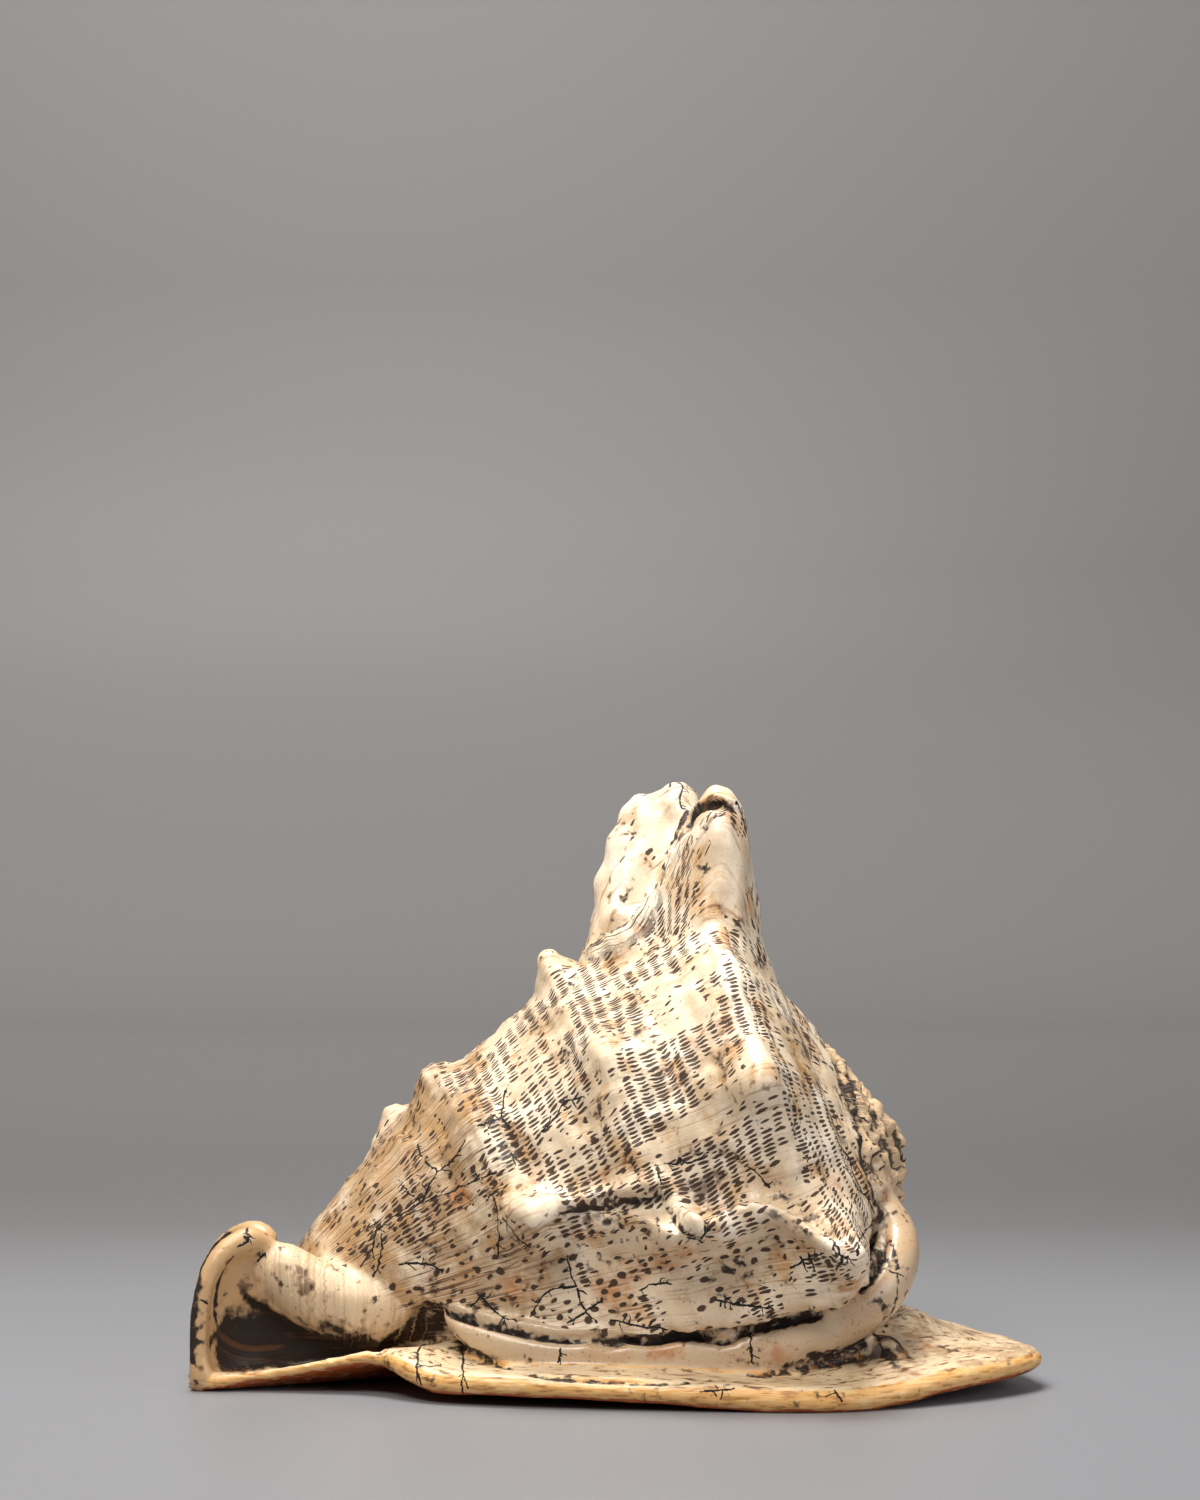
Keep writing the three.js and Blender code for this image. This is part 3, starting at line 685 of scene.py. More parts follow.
def besidePath(points, spots, normals, reach):
    # For points near a path on the shell: which they are, how far to its upper side they lie (mm),
    # their share of its length, and their distance from it (mm)
    low, high = spots.min(0) - reach * 0.001, spots.max(0) + reach * 0.001
    near = np.flatnonzero(((points > low) & (points < high)).all(1))
    best = np.full(len(near), 1e9)
    side = np.zeros(len(near))
    share = np.zeros(len(near))
    count = len(spots) - 1
    for k in range(count):
        start, run = spots[k], spots[k + 1] - spots[k]
        length = max(np.linalg.norm(run), 1e-9)
        if length > 0.012:
            continue  # the path jumps behind a nearer form here
        rel = points[near] - start
        t = rel @ run / length**2
        held = np.clip(t, 0, 1)
        gap = np.linalg.norm(rel - held[:, None] * run, axis=1) * 1000
        across = np.cross(normals[k], run / length)
        lateral = rel @ across * 1000
        closer = gap < best
        best = np.where(closer, gap, best)
        side = np.where(closer, lateral, side)
        ends = (k == 0, k == count - 1)
        open_ = np.clip(t, -1 if ends[0] else 0, 2 if ends[1] else 1)
        share = np.where(closer, (k + open_) / count, share)
    kept = best < reach
    return near[kept], side[kept], share[kept], best[kept]


# Canal: a curled sheet between the raised rim and the cord, hollow towards the shield's side
canal = {
    # rim x, y, z then cord x, y, z, from the foot up to the tip, and how far the sheet sags between them
    "rows": [
        (-128, -33, -1, -72, -27, 12, 14), (-129.5, -32.5, 12, -80, -28, 16, 14),
        (-129, -32, 25, -90, -28, 22, 11), (-126, -31, 36, -101, -27, 31, 6),
        (-119, -27, 44.5, -109, -24, 41, 1.5),
    ],
    "thickness": 3.2,
    "openTo": -75.0,
}


def makeCanalSheet():
    # The sheet itself, and the block of air in front of it that is cut from the canal's back
    rows = np.array(canal["rows"], float)
    at = np.linspace(0, len(rows) - 1, 40)
    rows = np.stack([onLine(np.stack([np.arange(len(rows)), rows[:, k]], 1), at) for k in range(7)], 1)
    share = np.linspace(0, 1, 40)[None, :, None]
    front = rows[:, None, :3] * (1 - share) + rows[:, None, 3:6] * share
    front[..., 1] += rows[:, None, 6] * np.sin(math.pi * share[..., 0]) ** 0.8

    def closed(name, near, far):
        count = near.shape[0] * near.shape[1]
        grid = np.arange(count).reshape(near.shape[:2])
        faces = []
        for i in range(near.shape[0] - 1):
            for j in range(near.shape[1] - 1):
                ring = (grid[i, j], grid[i, j + 1], grid[i + 1, j + 1], grid[i + 1, j])
                faces.append(ring)
                faces.append(tuple(corner + count for corner in ring[::-1]))
        border = np.concatenate([grid[0, :], grid[1:, -1], grid[-1, -2::-1], grid[-2:0:-1, 0]])
        for a, b in zip(border, np.roll(border, -1)):
            faces.append((b, a, a + count, b + count))
        piece = newObject(name, toMetres(np.vstack([near.reshape(-1, 3), far.reshape(-1, 3)])), faces)
        turnOutwards(piece)
        return piece

    back = front + np.array((0, canal["thickness"], 0))
    open_ = front.copy()
    open_[..., 1] = canal["openTo"]
    lowered = front.copy()
    lowered[0, :, 2] -= 1
    return closed("canalSheet", front, back), closed("canalAir", lowered, open_)


# Fused shell: everything above grown into one skin, then hollowed and softened
fused = {"voxel": 1.2, "softening": 2, "triangles": 196000}
oldKnob = {"centre": (83, -42, 11), "half": (9, 10, 8)}
brokenTip = {"centre": (33.0, -11, 184.5), "half": (2.0, 6, 3.6), "turn": math.radians(35)}


def flattenUnderside(piece, lowest):
    places = readPoints(piece)
    places[:, 2] = np.maximum(places[:, 2], lowest * 0.001)
    piece.data.vertices.foreach_set("co", places.ravel())
    piece.data.update()


def soften(piece, rounds):
    smooth = piece.modifiers.new("soften", "SMOOTH")
    smooth.factor = 0.5
    smooth.iterations = rounds
    return applyAll(piece)


def surfaceOf(piece):
    mesh = piece.data
    return BVHTree.FromPolygons([v.co for v in mesh.vertices], [tuple(p.vertices) for p in mesh.polygons])


def readNormals(piece):
    values = np.empty(len(piece.data.vertices) * 3)
    piece.data.vertex_normals.foreach_get("vector", values)
    return values.reshape(-1, 3)


def readEdges(piece):
    edges = np.empty(len(piece.data.edges) * 2, np.int64)
    piece.data.edges.foreach_get("vertices", edges)
    return edges.reshape(-1, 2)


def spread(values, edges, rounds):
    # Each value becomes the mean of its neighbours', a number of times
    values = np.asarray(values, float)
    flat = values.reshape(len(values), -1)
    ends = np.concatenate([edges, edges[:, ::-1]])
    degree = np.maximum(np.bincount(ends[:, 0], minlength=len(flat)), 1)[:, None]
    for _ in range(rounds):
        columns = [np.bincount(ends[:, 0], flat[ends[:, 1], k], len(flat)) for k in range(flat.shape[1])]
        total = np.stack(columns, 1)
        flat = 0.5 * flat + 0.5 * total / degree
    return flat.reshape(values.shape)


def makeShell():
    sources = {}

    def remember(zone, *pieces):
        sources.setdefault(zone, []).extend(surfaceOf(piece) for piece in pieces)

    parts = {name: makeRoll(name, rows) for name, rows in rolls.items()}
    print("rolls:", len(parts))
    sheet, air = makeCanalSheet()
    remember("canal", parts["canalBack"], parts["nearWall"], parts["farWall"], sheet)
    remember("cord", parts["fasciole"])
    remember("roll", parts["oldLip"])
    remember("inside", parts["canalBore"])
    spout = remesh(joined("spout", [parts["canalBack"], parts["farWall"]]), fused["voxel"])
    cut(spout, air)
    spout = remesh(joined("spoutWalls", [spout, sheet, parts["nearWall"], parts["fasciole"]]), fused["voxel"])
    cut(spout, parts["canalBore"])
    knob = makeBall("oldKnob", oldKnob["centre"], oldKnob["half"])
    whorlPiece, growth = makeWhorl()
    flattenUnderside(whorlPiece, 4.5)  # the whorl ends inside the shield's thickness
    faces = [tuple(p.vertices) for p in whorlPiece.data.polygons]
    grown = {"points": readPoints(whorlPiece), "faces": faces, "growth": growth}
    plate = makeShield()
    remember("whorl", whorlPiece, knob)
    remember("plate", plate, parts["outerLip"])
    skin = joined("skin", [whorlPiece, plate, parts["outerLip"]])
    remesh(skin, fused["voxel"])
    room, slit = makeChamber(), makeSlit()
    remember("inside", room, slit)
    cut(skin, room)
    cut(skin, slit)
    tree = toothTree()
    teeth = [makeTeeth(name, tree, aperture[name]) for name in ("outerTeeth", "innerFolds")]
    remember("teeth", *teeth)
    skin = joined("shellSkin", [skin, spout, parts["oldLip"], knob] + teeth)
    remesh(skin, fused["voxel"])
    cut(skin, makeBall("brokenTip", brokenTip["centre"], brokenTip["half"], 0, brokenTip["turn"], 32))
    flattenUnderside(skin, 0)
    remesh(skin, fused["voxel"])
    soften(skin, fused["softening"])
    print("skin:", len(skin.data.polygons), "faces")
    return skin, sources, grown


# Sculpting: creases and dabs placed by the photo's pixels, pressed in or raised along the normals
sculpt = {
    # path in pixels, then in millimetres: rise above the line and below it, reach above and below,
    # and the width of the dirt and painted shade along the line
    "creases": {
        "hem": ([(423, 1303), (470, 1318), (520, 1331), (567, 1338), (590, 1337), (607, 1343), (628, 1337),
                 (650, 1341), (672, 1335), (700, 1334), (713, 1339), (727, 1341), (740, 1331), (757, 1325),
                 (800, 1316), (840, 1303), (865, 1280), (880, 1252), (884, 1225)],
                 1.7, -3.6, 3.5, 1.8, 0.75),
        "rollFoot": ([(446, 1322), (462, 1342), (490, 1360), (530, 1373), (570, 1379), (640, 1382),
                      (700, 1381), (760, 1375), (810, 1366), (850, 1358), (880, 1345)],
                      0.3, -1.0, 3, 1.6, 0.5),
        "shelf": ([(517, 1216), (527, 1225), (540, 1225), (563, 1214), (603, 1204), (640, 1197), (662, 1194),
                   (672, 1210), (684, 1230), (697, 1240), (710, 1226)], 2.6, -2.4, 5, 6, 0.55),
        "arch": ([(700, 1232), (716, 1219), (740, 1206), (765, 1206), (790, 1215), (815, 1232), (838, 1246),
                  (856, 1257)], -2.8, 2.4, 9, 5, 0.0),
        "hornCrest": ([(560, 953), (600, 946), (622, 936), (642, 918), (655, 895), (665, 868), (676, 838),
                       (688, 806)],
                      -4.0, 3.2, 8, 5, 0.45),
        "ear": ([(686, 834), (691, 819), (700, 808), (714, 802), (730, 806), (738, 812)],
                 1.4, -1.8, 2.2, 1.8, 1.0),
        "suture": ([(838, 1040), (848, 1085), (856, 1125), (862, 1165), (872, 1200), (884, 1232)],
                   -1.8, 1.2, 3, 3, 1.6),
        "cordFoot": ([(243, 1296), (270, 1312), (300, 1327), (335, 1340), (372, 1336)], 0.8, -1.6, 5, 4, 1.2),
        "neck": ([(372, 1352), (398, 1342), (418, 1326), (434, 1306)], -2.0, -2.0, 4, 4, 4.2),
        "hoodEdge": ([(193, 1372), (191, 1335), (194, 1300), (202, 1268), (215, 1245), (236, 1229)],
                      0, 0, 2, 2, 1.1),
        "hoodInside": ([(203, 1352), (216, 1335), (214, 1305), (221, 1275), (236, 1252)], 0, 0, 2, 2, 0.6),
        "oldWhorl": ([(800, 1356), (830, 1357), (858, 1359), (884, 1352), (899, 1372)],
                      -0.8, -0.8, 2, 2, 1.6),
        "lipEnd": ([(888, 1232), (897, 1262), (896, 1300), (880, 1340)], 0, 0, 2, 2, 0.4),
        "slope": ([(396, 1135), (420, 1150), (437, 1172), (446, 1200)], -0.8, 0.6, 5, 5, 0.0),
        "flank": ([(700, 1158), (722, 1150), (745, 1166), (768, 1188)], 0.9, -1.2, 4, 4, 0.3),
    },
    # pixel, rise and radius in millimetres
    "dabs": [
        (605, 1332, 1.6, 4.5), (650, 1331, 1.6, 4.5), (684, 1328, 1.2, 3.5), (721, 1333, 2.6, 4),
        (757, 1313, 1.4, 4), (530, 1211, 2.4, 5), (549, 1207, 1.4, 4), (696, 1226, 3.0, 4.5),
        (852, 1250, 1.6, 4.5), (765, 1078, 2.4, 6), (752, 1095, 1.6, 7), (612, 1052, 1.6, 7),
        (595, 1046, 1.4, 5), (700, 1185, -2.6, 8), (718, 1178, -2.0, 8), (640, 1215, -1.4, 9),
        (560, 1235, -1.0, 7), (866, 1078, 2.6, 3.2), (871, 1112, 3.0, 3.6), (869, 1150, 3.2, 3.8),
        (877, 1188, 2.8, 4), (884, 1215, 2.2, 4), (857, 1098, 1.2, 2.4), (880, 1165, 1.4, 2.6),
        (886, 1128, 1.6, 3.0), (893, 1156, 1.6, 3.0), (852, 1052, 2.6, 3.4), (838, 1036, 2.4, 4),
        (545, 958, 1.6, 4), (711, 815, 1.3, 2.4), (600, 880, 1.5, 6), (612, 845, 1.0, 5),
        (430, 1082, 1.8, 5), (393, 1113, 1.6, 5), (895, 1366, 2.4, 4.5), (897, 1350, 1.4, 4),
        (441, 1313, -1.0, 4), (205, 1376, 1.4, 4), (222, 1378, 1.2, 4), (252, 1237, 1.2, 4.5),
    ],
    # pixel and radius in millimetres of places that wore smooth
    "worn": [(735, 935, 20), (762, 1005, 16), (640, 1010, 16), (655, 1060, 12)],
    "rowCord": 0.16,  # how far the spiral rows stand out
    "growthRipple": 0.22,
    "lumps": {"size": 13.0, "rise": 0.5},
    "spireCrust": 1.1,
    "seed": 11,
}


def growthAt(points, grown):
    # Row, turn, place and step sizes at the nearest point of the whorl
    surface = BVHTree.FromPolygons([Vector(p) for p in grown["points"]], grown["faces"])
    corners = [Vector(p) for p in grown["points"]]
    found = np.zeros((len(points), grown["growth"].shape[1]))
    for i, point in enumerate(points):
        spot, _, face, _ = surface.find_nearest(point)
        ring = grown["faces"][face]
        shares = poly_3d_calc([corners[c] for c in ring], spot)
        found[i] = np.asarray(shares) @ grown["growth"][list(ring)]
    return found


def zonesAt(points, sources, blur):
    # How far each point belongs to each piece that the shell was fused from
    names = list(sources)
    gaps = np.empty((len(points), len(names)))
    for k, name in enumerate(names):
        for i, point in enumerate(points):
            gaps[i, k] = min(surface.find_nearest(point)[3] for surface in sources[name])
    shares = np.exp(-(gaps - gaps.min(1, keepdims=True)) * 1000 / blur)
    shares /= shares.sum(1, keepdims=True)
    return {name: shares[:, k] for k, name in enumerate(names)}


def wander(points, size, seed):
    # Smooth random lumps between about -1 and 1: crossed waves at a few odd angles
    rng = np.random.default_rng(seed)
    total = np.zeros(len(points))
    for _ in range(12):
        way = rng.normal(size=3)
        way /= np.linalg.norm(way)
        wave = 2 * math.pi / (size * rng.uniform(0.6, 1.5))
        total += np.sin(points @ way * 1000 * wave + rng.uniform(0, 6.28))
    return total / 4


def sculptShell(shell, zones, growth):
    # Moves the points; hands back the dirt and painted shade along the creases and the way along the horn's
    # crest
    points, normals = readPoints(shell), readNormals(shell)
    surface = surfaceOf(shell)
    smooth = spread(points, readEdges(shell), 45)
    # Worn places sink towards the smoothed shell
    for x, y, radius in sculpt["worn"]:
        spots, faces = seenThrough([(x, y)], surface)
        gap = np.linalg.norm(points - spots[0], axis=1) * 1000
        worn = np.exp(-((gap / radius) ** 2)) * (normals @ faces[0] > 0)
        points += worn[:, None] * (smooth - points)
    rise = np.zeros(len(points))
    shadeAndDirt = np.zeros(len(points))
    comb = np.zeros((3, len(points)))
    # Creases: a swell above the line, a groove below it, both fading at the line's ends
    for name, (path, above, below, reachUp, reachDown, shadeAndDirtWidth) in sculpt["creases"].items():
        spots, faces = seenThrough(smoothPath(path, 4), surface)
        near, side, share, gap = besidePath(points, spots, faces, 2.5 * max(reachUp, reachDown))
        ends = smoothstep(share, -0.02, 0.08) * (1 - smoothstep(share, 0.92, 1.02))
        up = above * np.exp(-(side / reachUp - 0.5) ** 2 * 2)
        down = below * np.exp(-(side / reachDown) ** 2)
        beyond = np.exp(-np.maximum(gap - np.abs(side), 0) ** 2 / 4)
        up = up * smoothstep(side, 0, 1.5) + below * np.exp(-side**2 * 2)
        rise[near] += ends * beyond * np.where(side > 0, up, down)
        if name == "hornCrest":
            combed = smoothstep(side, -6.5, -5) * (1 - smoothstep(side, 0, 1))
            comb[:, near] = side, share, ends * beyond * combed
        # Dirt and painted shade along the crease, reaching further below the line than above it
        if shadeAndDirtWidth:
            away = np.where(side > 0, side / shadeAndDirtWidth, -side / (1.8 * shadeAndDirtWidth))
            shadeAndDirt[near] = np.maximum(shadeAndDirt[near], ends * beyond * np.exp(-away**2))
    # Dabs: single round bumps and hollows
    for x, y, height, radius in sculpt["dabs"]:
        spots, faces = seenThrough([(x, y)], surface)
        if len(spots):
            gap = np.linalg.norm(points - spots[0], axis=1) * 1000
            rise += height * np.exp(-((gap / radius) ** 2)) * (normals @ faces[0] > -0.2)
    # Cords along the rows, the ripple of growth, lumps and the spire's crust
    row, turn, place = growth[:, 0], growth[:, 1], growth[:, 2]
    onWhorl = zones["whorl"]
    crust = onWhorl * (1 - smoothstep(place, coil["suture"] - 1.5, coil["suture"] + 1.5))
    rise += onWhorl * (1 - crust) * sculpt["rowCord"] * np.cos(2 * math.pi * row)
    ripple = np.sin(turn * 1.15 + 1.3 * wander(points, 40, 3)) * np.sin(turn * 0.31)
    rise += onWhorl * (1 - crust) * sculpt["growthRipple"] * ripple * smoothstep(place, 16, 40)
    lumps = sculpt["lumps"]
    lumpy = wander(points, lumps["size"], sculpt["seed"])
    rise += (onWhorl + zones["cord"] * 0.5) * lumps["rise"] * lumpy
    ridges = np.sin(place * 2.3 + 2 * wander(points, 14, 5)) + 0.8 * wander(points, 4.5, 6)
    rise += crust * sculpt["spireCrust"] * ridges
    rise += zones["plate"] * 0.25 * wander(points, 24, 8)
    # The flats that it rests on stay flat, and nothing goes past the solids' box
    rise = np.where(points[:, 2] < 0.0012, 0, rise)
    points += normals * rise[:, None] * 0.001
    points[:, 2] = np.maximum(points[:, 2], 0)
    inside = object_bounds()
    points = np.clip(points, np.array(inside[0]), np.array(inside[1]))
    shell.data.vertices.foreach_set("co", points.ravel())
    shell.data.update()
    print("sculpted", len(sculpt["creases"]), "creases and", len(sculpt["dabs"]), "dabs")
    return shadeAndDirt, comb


def thinOut(shell):
    shell.data.calc_loop_triangles()
    thin = shell.modifiers.new("thin", "DECIMATE")
    thin.ratio = min(1, fused["triangles"] / len(shell.data.loop_triangles))
    applyAll(shell)
    shell.data.calc_loop_triangles()
    print("thinned to", len(shell.data.loop_triangles), "triangles")


# Cracks: fine black strokes with side twigs, placed by the photo's pixels and, out of its sight, at random
cracks = {
    "main": [
        [(377, 1230), (393, 1218), (420, 1203), (437, 1173), (453, 1160), (465, 1140)],
        [(420, 1201), (407, 1190), (397, 1177)], [(438, 1172), (423, 1160), (417, 1143)],
        [(427, 1202), (450, 1192), (473, 1182), (497, 1172)], [(377, 1230), (370, 1253), (360, 1267)],
        [(381, 1233), (382, 1257), (373, 1277)], [(379, 1229), (377, 1207)], [(502, 1117), (505, 1090)],
        [(502, 1118), (477, 1126)], [(502, 1118), (510, 1129)], [(502, 1117), (515, 1108)],
        [(537, 1137), (553, 1120), (565, 1102), (585, 1097)], [(510, 1153), (522, 1165)],
        [(488, 1198), (495, 1191)], [(494, 1198), (497, 1213), (498, 1257)],
        [(503, 1217), (520, 1240), (530, 1248)], [(400, 1265), (430, 1264), (443, 1272)],
        [(577, 1287), (571, 1272), (568, 1255)], [(576, 1286), (550, 1290), (530, 1317)],
        [(577, 1288), (582, 1305), (597, 1323)], [(548, 1293), (573, 1303)],
        [(603, 1300), (577, 1317), (567, 1323)], [(577, 1286), (590, 1274)],
        [(477, 1293), (503, 1317), (520, 1320)], [(470, 1307), (484, 1293)], [(503, 1316), (508, 1330)],
        [(663, 1163), (683, 1164), (702, 1159)], [(657, 1168), (662, 1184)],
        [(747, 1167), (760, 1177), (770, 1188)], [(687, 1237), (697, 1240), (708, 1232)],
        [(715, 1300), (740, 1305), (773, 1308)], [(724, 1296), (740, 1305)],
        [(833, 1240), (843, 1257), (857, 1260)], [(873, 1222), (860, 1240), (857, 1256)],
        [(843, 1256), (836, 1270)], [(790, 1268), (813, 1257), (824, 1253)], [(800, 1256), (808, 1272)],
        [(808, 1253), (815, 1272)], [(750, 1333), (752, 1363)], [(561, 1348), (558, 1363)],
        [(889, 1270), (900, 1274)], [(640, 1290), (655, 1283), (672, 1284)],
        [(420, 1343), (417, 1367), (425, 1393)], [(462, 1347), (463, 1397)], [(417, 1367), (440, 1366)],
        [(245, 1226), (248, 1241), (237, 1247)], [(257, 1262), (266, 1254)], [(200, 1300), (208, 1304)],
        [(610, 1320), (640, 1326), (668, 1330)], [(700, 1392), (735, 1388)], [(834, 1390), (842, 1402)],
    ],
    "twigs": {"every": 2.6, "length": (1.6, 5.5), "turn": (35, 75)},
    "hidden": {"count": 46, "length": (7, 24), "seed": 5},
    "reach": 3.4,
    # half widths in millimetres; the first three layers hold the main strokes, the others twigs
    "layers": {
        "crackA": 0.55, "crackB": 0.55, "crackC": 0.55, "crackD": 0.36, "crackE": 0.36, "crackF": 0.36,
    },
    "seed": 21,
}


def walkOver(surface, start, way, length, rng, bend=0.28):
    # A wandering stroke over the surface, a millimetre a step
    spots, normals = [], []
    spot, normal = surface.find_nearest(Vector(start))[:2]
    way = Vector(way)
    for _ in range(max(3, int(length))):
        spots.append(tuple(spot))
        normals.append(tuple(normal))
        way = way - normal * way.dot(normal)
        if way.length < 1e-6:
            break
        way = way.normalized() + normal.cross(way.normalized()) * float(rng.normal()) * bend
        spot, normal = surface.find_nearest(spot + way.normalized() * 0.001)[:2]
    return np.array(spots), np.array(normals)


def crackStrokes(surface, points, normals, zones):
    rng = np.random.default_rng(cracks["seed"])
    strokes = []
    for path in cracks["main"]:
        path = smoothPath(path, 3)
        path[1:-1] += rng.normal(0, 0.8, (len(path) - 2, 2))
        spots, faces = seenThrough(path, surface)
        if len(spots) > 2:
            strokes.append((spots, faces, "main"))
    hidden = cracks["hidden"]
    seen = np.random.default_rng(hidden["seed"])
    turnedAway = (normals[:, 1] > 0.15) | (normals[:, 0] > 0.75)
    outside = np.flatnonzero((zones["whorl"] > 0.8) & turnedAway & (points[:, 2] > 0.015))
    for i in seen.choice(outside, hidden["count"], replace=False):
        for _ in range(int(seen.integers(1, 4))):
            stroke = walkOver(surface, points[i], seen.normal(size=3), seen.uniform(*hidden["length"]), seen)
            if len(stroke[0]) > 2:
                strokes.append((*stroke, "main"))
    twigs = cracks["twigs"]
    for spots, faces, _ in list(strokes):
        for k in range(1, len(spots) - 1):
            if rng.uniform() > 1 / twigs["every"]:
                continue
            run = Vector(spots[k + 1] - spots[k - 1]).normalized()
            normal = Vector(faces[k])
            angle = math.radians(rng.uniform(*twigs["turn"])) * rng.choice([-1, 1])
            way = run * math.cos(angle) + normal.cross(run) * math.sin(angle)
            stroke = walkOver(surface, spots[k], way, rng.uniform(*twigs["length"]), rng, 0.4)
            if len(stroke[0]) > 2:
                strokes.append((*stroke, "twig"))
    return strokes


def markCracks(shell, zones):
    # Six layers, so that strokes of one layer never touch; each holds side, share of length and reach
    points, normals = readPoints(shell), readNormals(shell)
    strokes = crackStrokes(surfaceOf(shell), points, normals, zones)
    names = list(cracks["layers"])
    layers = {name: np.tile((9.0, -1.0, 0.0), (len(points), 1)) for name in names}
    taken = {name: np.zeros(len(points), bool) for name in names}
    drawn = 0
    for spots, faces, rank in strokes:
        near, side, share, _ = besidePath(points, spots, faces, cracks["reach"])
        options = names[:3] if rank == "main" else names[3:]
        for name in options:
            if not taken[name][near].any():
                layers[name][near] = np.stack([side, share, np.ones(len(near))], 1)
                taken[name][near] = True
                drawn += 1
                break
    for name in names:
        layer = shell.data.attributes.new(name, "FLOAT_VECTOR", "POINT")
        layer.data.foreach_set("vector", layers[name].astype(np.float32).ravel())
    print("cracks:", drawn, "of", len(strokes), "strokes")


# Stains: soft spots of colour, pixel and radius in millimetres
stains = {
    "rust": [
        (530, 1180, 5), (517, 1285, 6), (620, 1280, 7), (640, 1272, 5), (687, 1250, 6), (563, 1118, 3),
        (607, 1177, 3), (605, 1290, 8), (670, 1262, 6), (670, 1350, 6), (655, 1352, 5), (857, 1287, 6),
        (873, 1187, 3), (840, 1190, 5), (885, 1195, 3), (890, 1240, 3), (845, 1180, 4), (912, 1335, 5),
        (925, 1345, 5), (460, 1195, 5), (780, 1355, 5),
    ],
    "umber": [
        (846, 1352, 4), (866, 1349, 4), (826, 1356, 3), (888, 1338, 3), (905, 1352, 3), (925, 1362, 3),
        (938, 1345, 2), (712, 800, 3), (228, 1262, 3), (246, 1282, 3.6), (262, 1300, 3), (198, 1365, 3),
        (210, 1340, 2), (298, 1272, 4), (305, 1285, 4), (328, 1300, 2.4), (766, 1090, 4), (700, 1190, 6),
        (716, 1182, 5), (770, 1215, 3), (588, 1222, 2.5), (596, 1214, 2), (615, 1262, 3), (590, 1267, 2),
        (523, 1285, 3.5),
    ],
}


def stainAt(points, surface, rows):
    total = np.zeros(len(points))
    for x, y, radius in rows:
        spots, _ = seenThrough([(x, y)], surface)
        if len(spots):
            gap = np.linalg.norm(points - spots[0], axis=1) * 1000
            total = np.maximum(total, np.exp(-((gap / radius) ** 2)))
    return total


def creviceAt(points, normals, surface, reach, rays):
    # Share of the directions above each point in which the shell closes in within reach
    golden = math.pi * (3 - math.sqrt(5))
    k = np.arange(rays)
    height = np.sqrt(1 - (k + 0.5) / rays)
    flat = np.sqrt(1 - height**2)
    fan = np.stack([flat * np.cos(k * golden), flat * np.sin(k * golden), height], 1)
    shut = np.zeros(len(points))
    for i, (point, normal) in enumerate(zip(points, normals)):
        up = Vector(normal)
        across = up.orthogonal().normalized()
        third = up.cross(across)
        start = Vector(point) + up * 0.0003
        for a, b, c in fan:
            hit = surface.ray_cast(start, across * a + third * b + up * c, reach * 0.001)
            if hit[3] is not None:
                shut[i] += 1 - hit[3] / (reach * 0.001) * 0.6
    return shut / rays


def nearestOf(spots):
    tree = KDTree(len(spots))
    for i, spot in enumerate(spots):
        tree.insert(spot, i)
    tree.balance()
    return tree


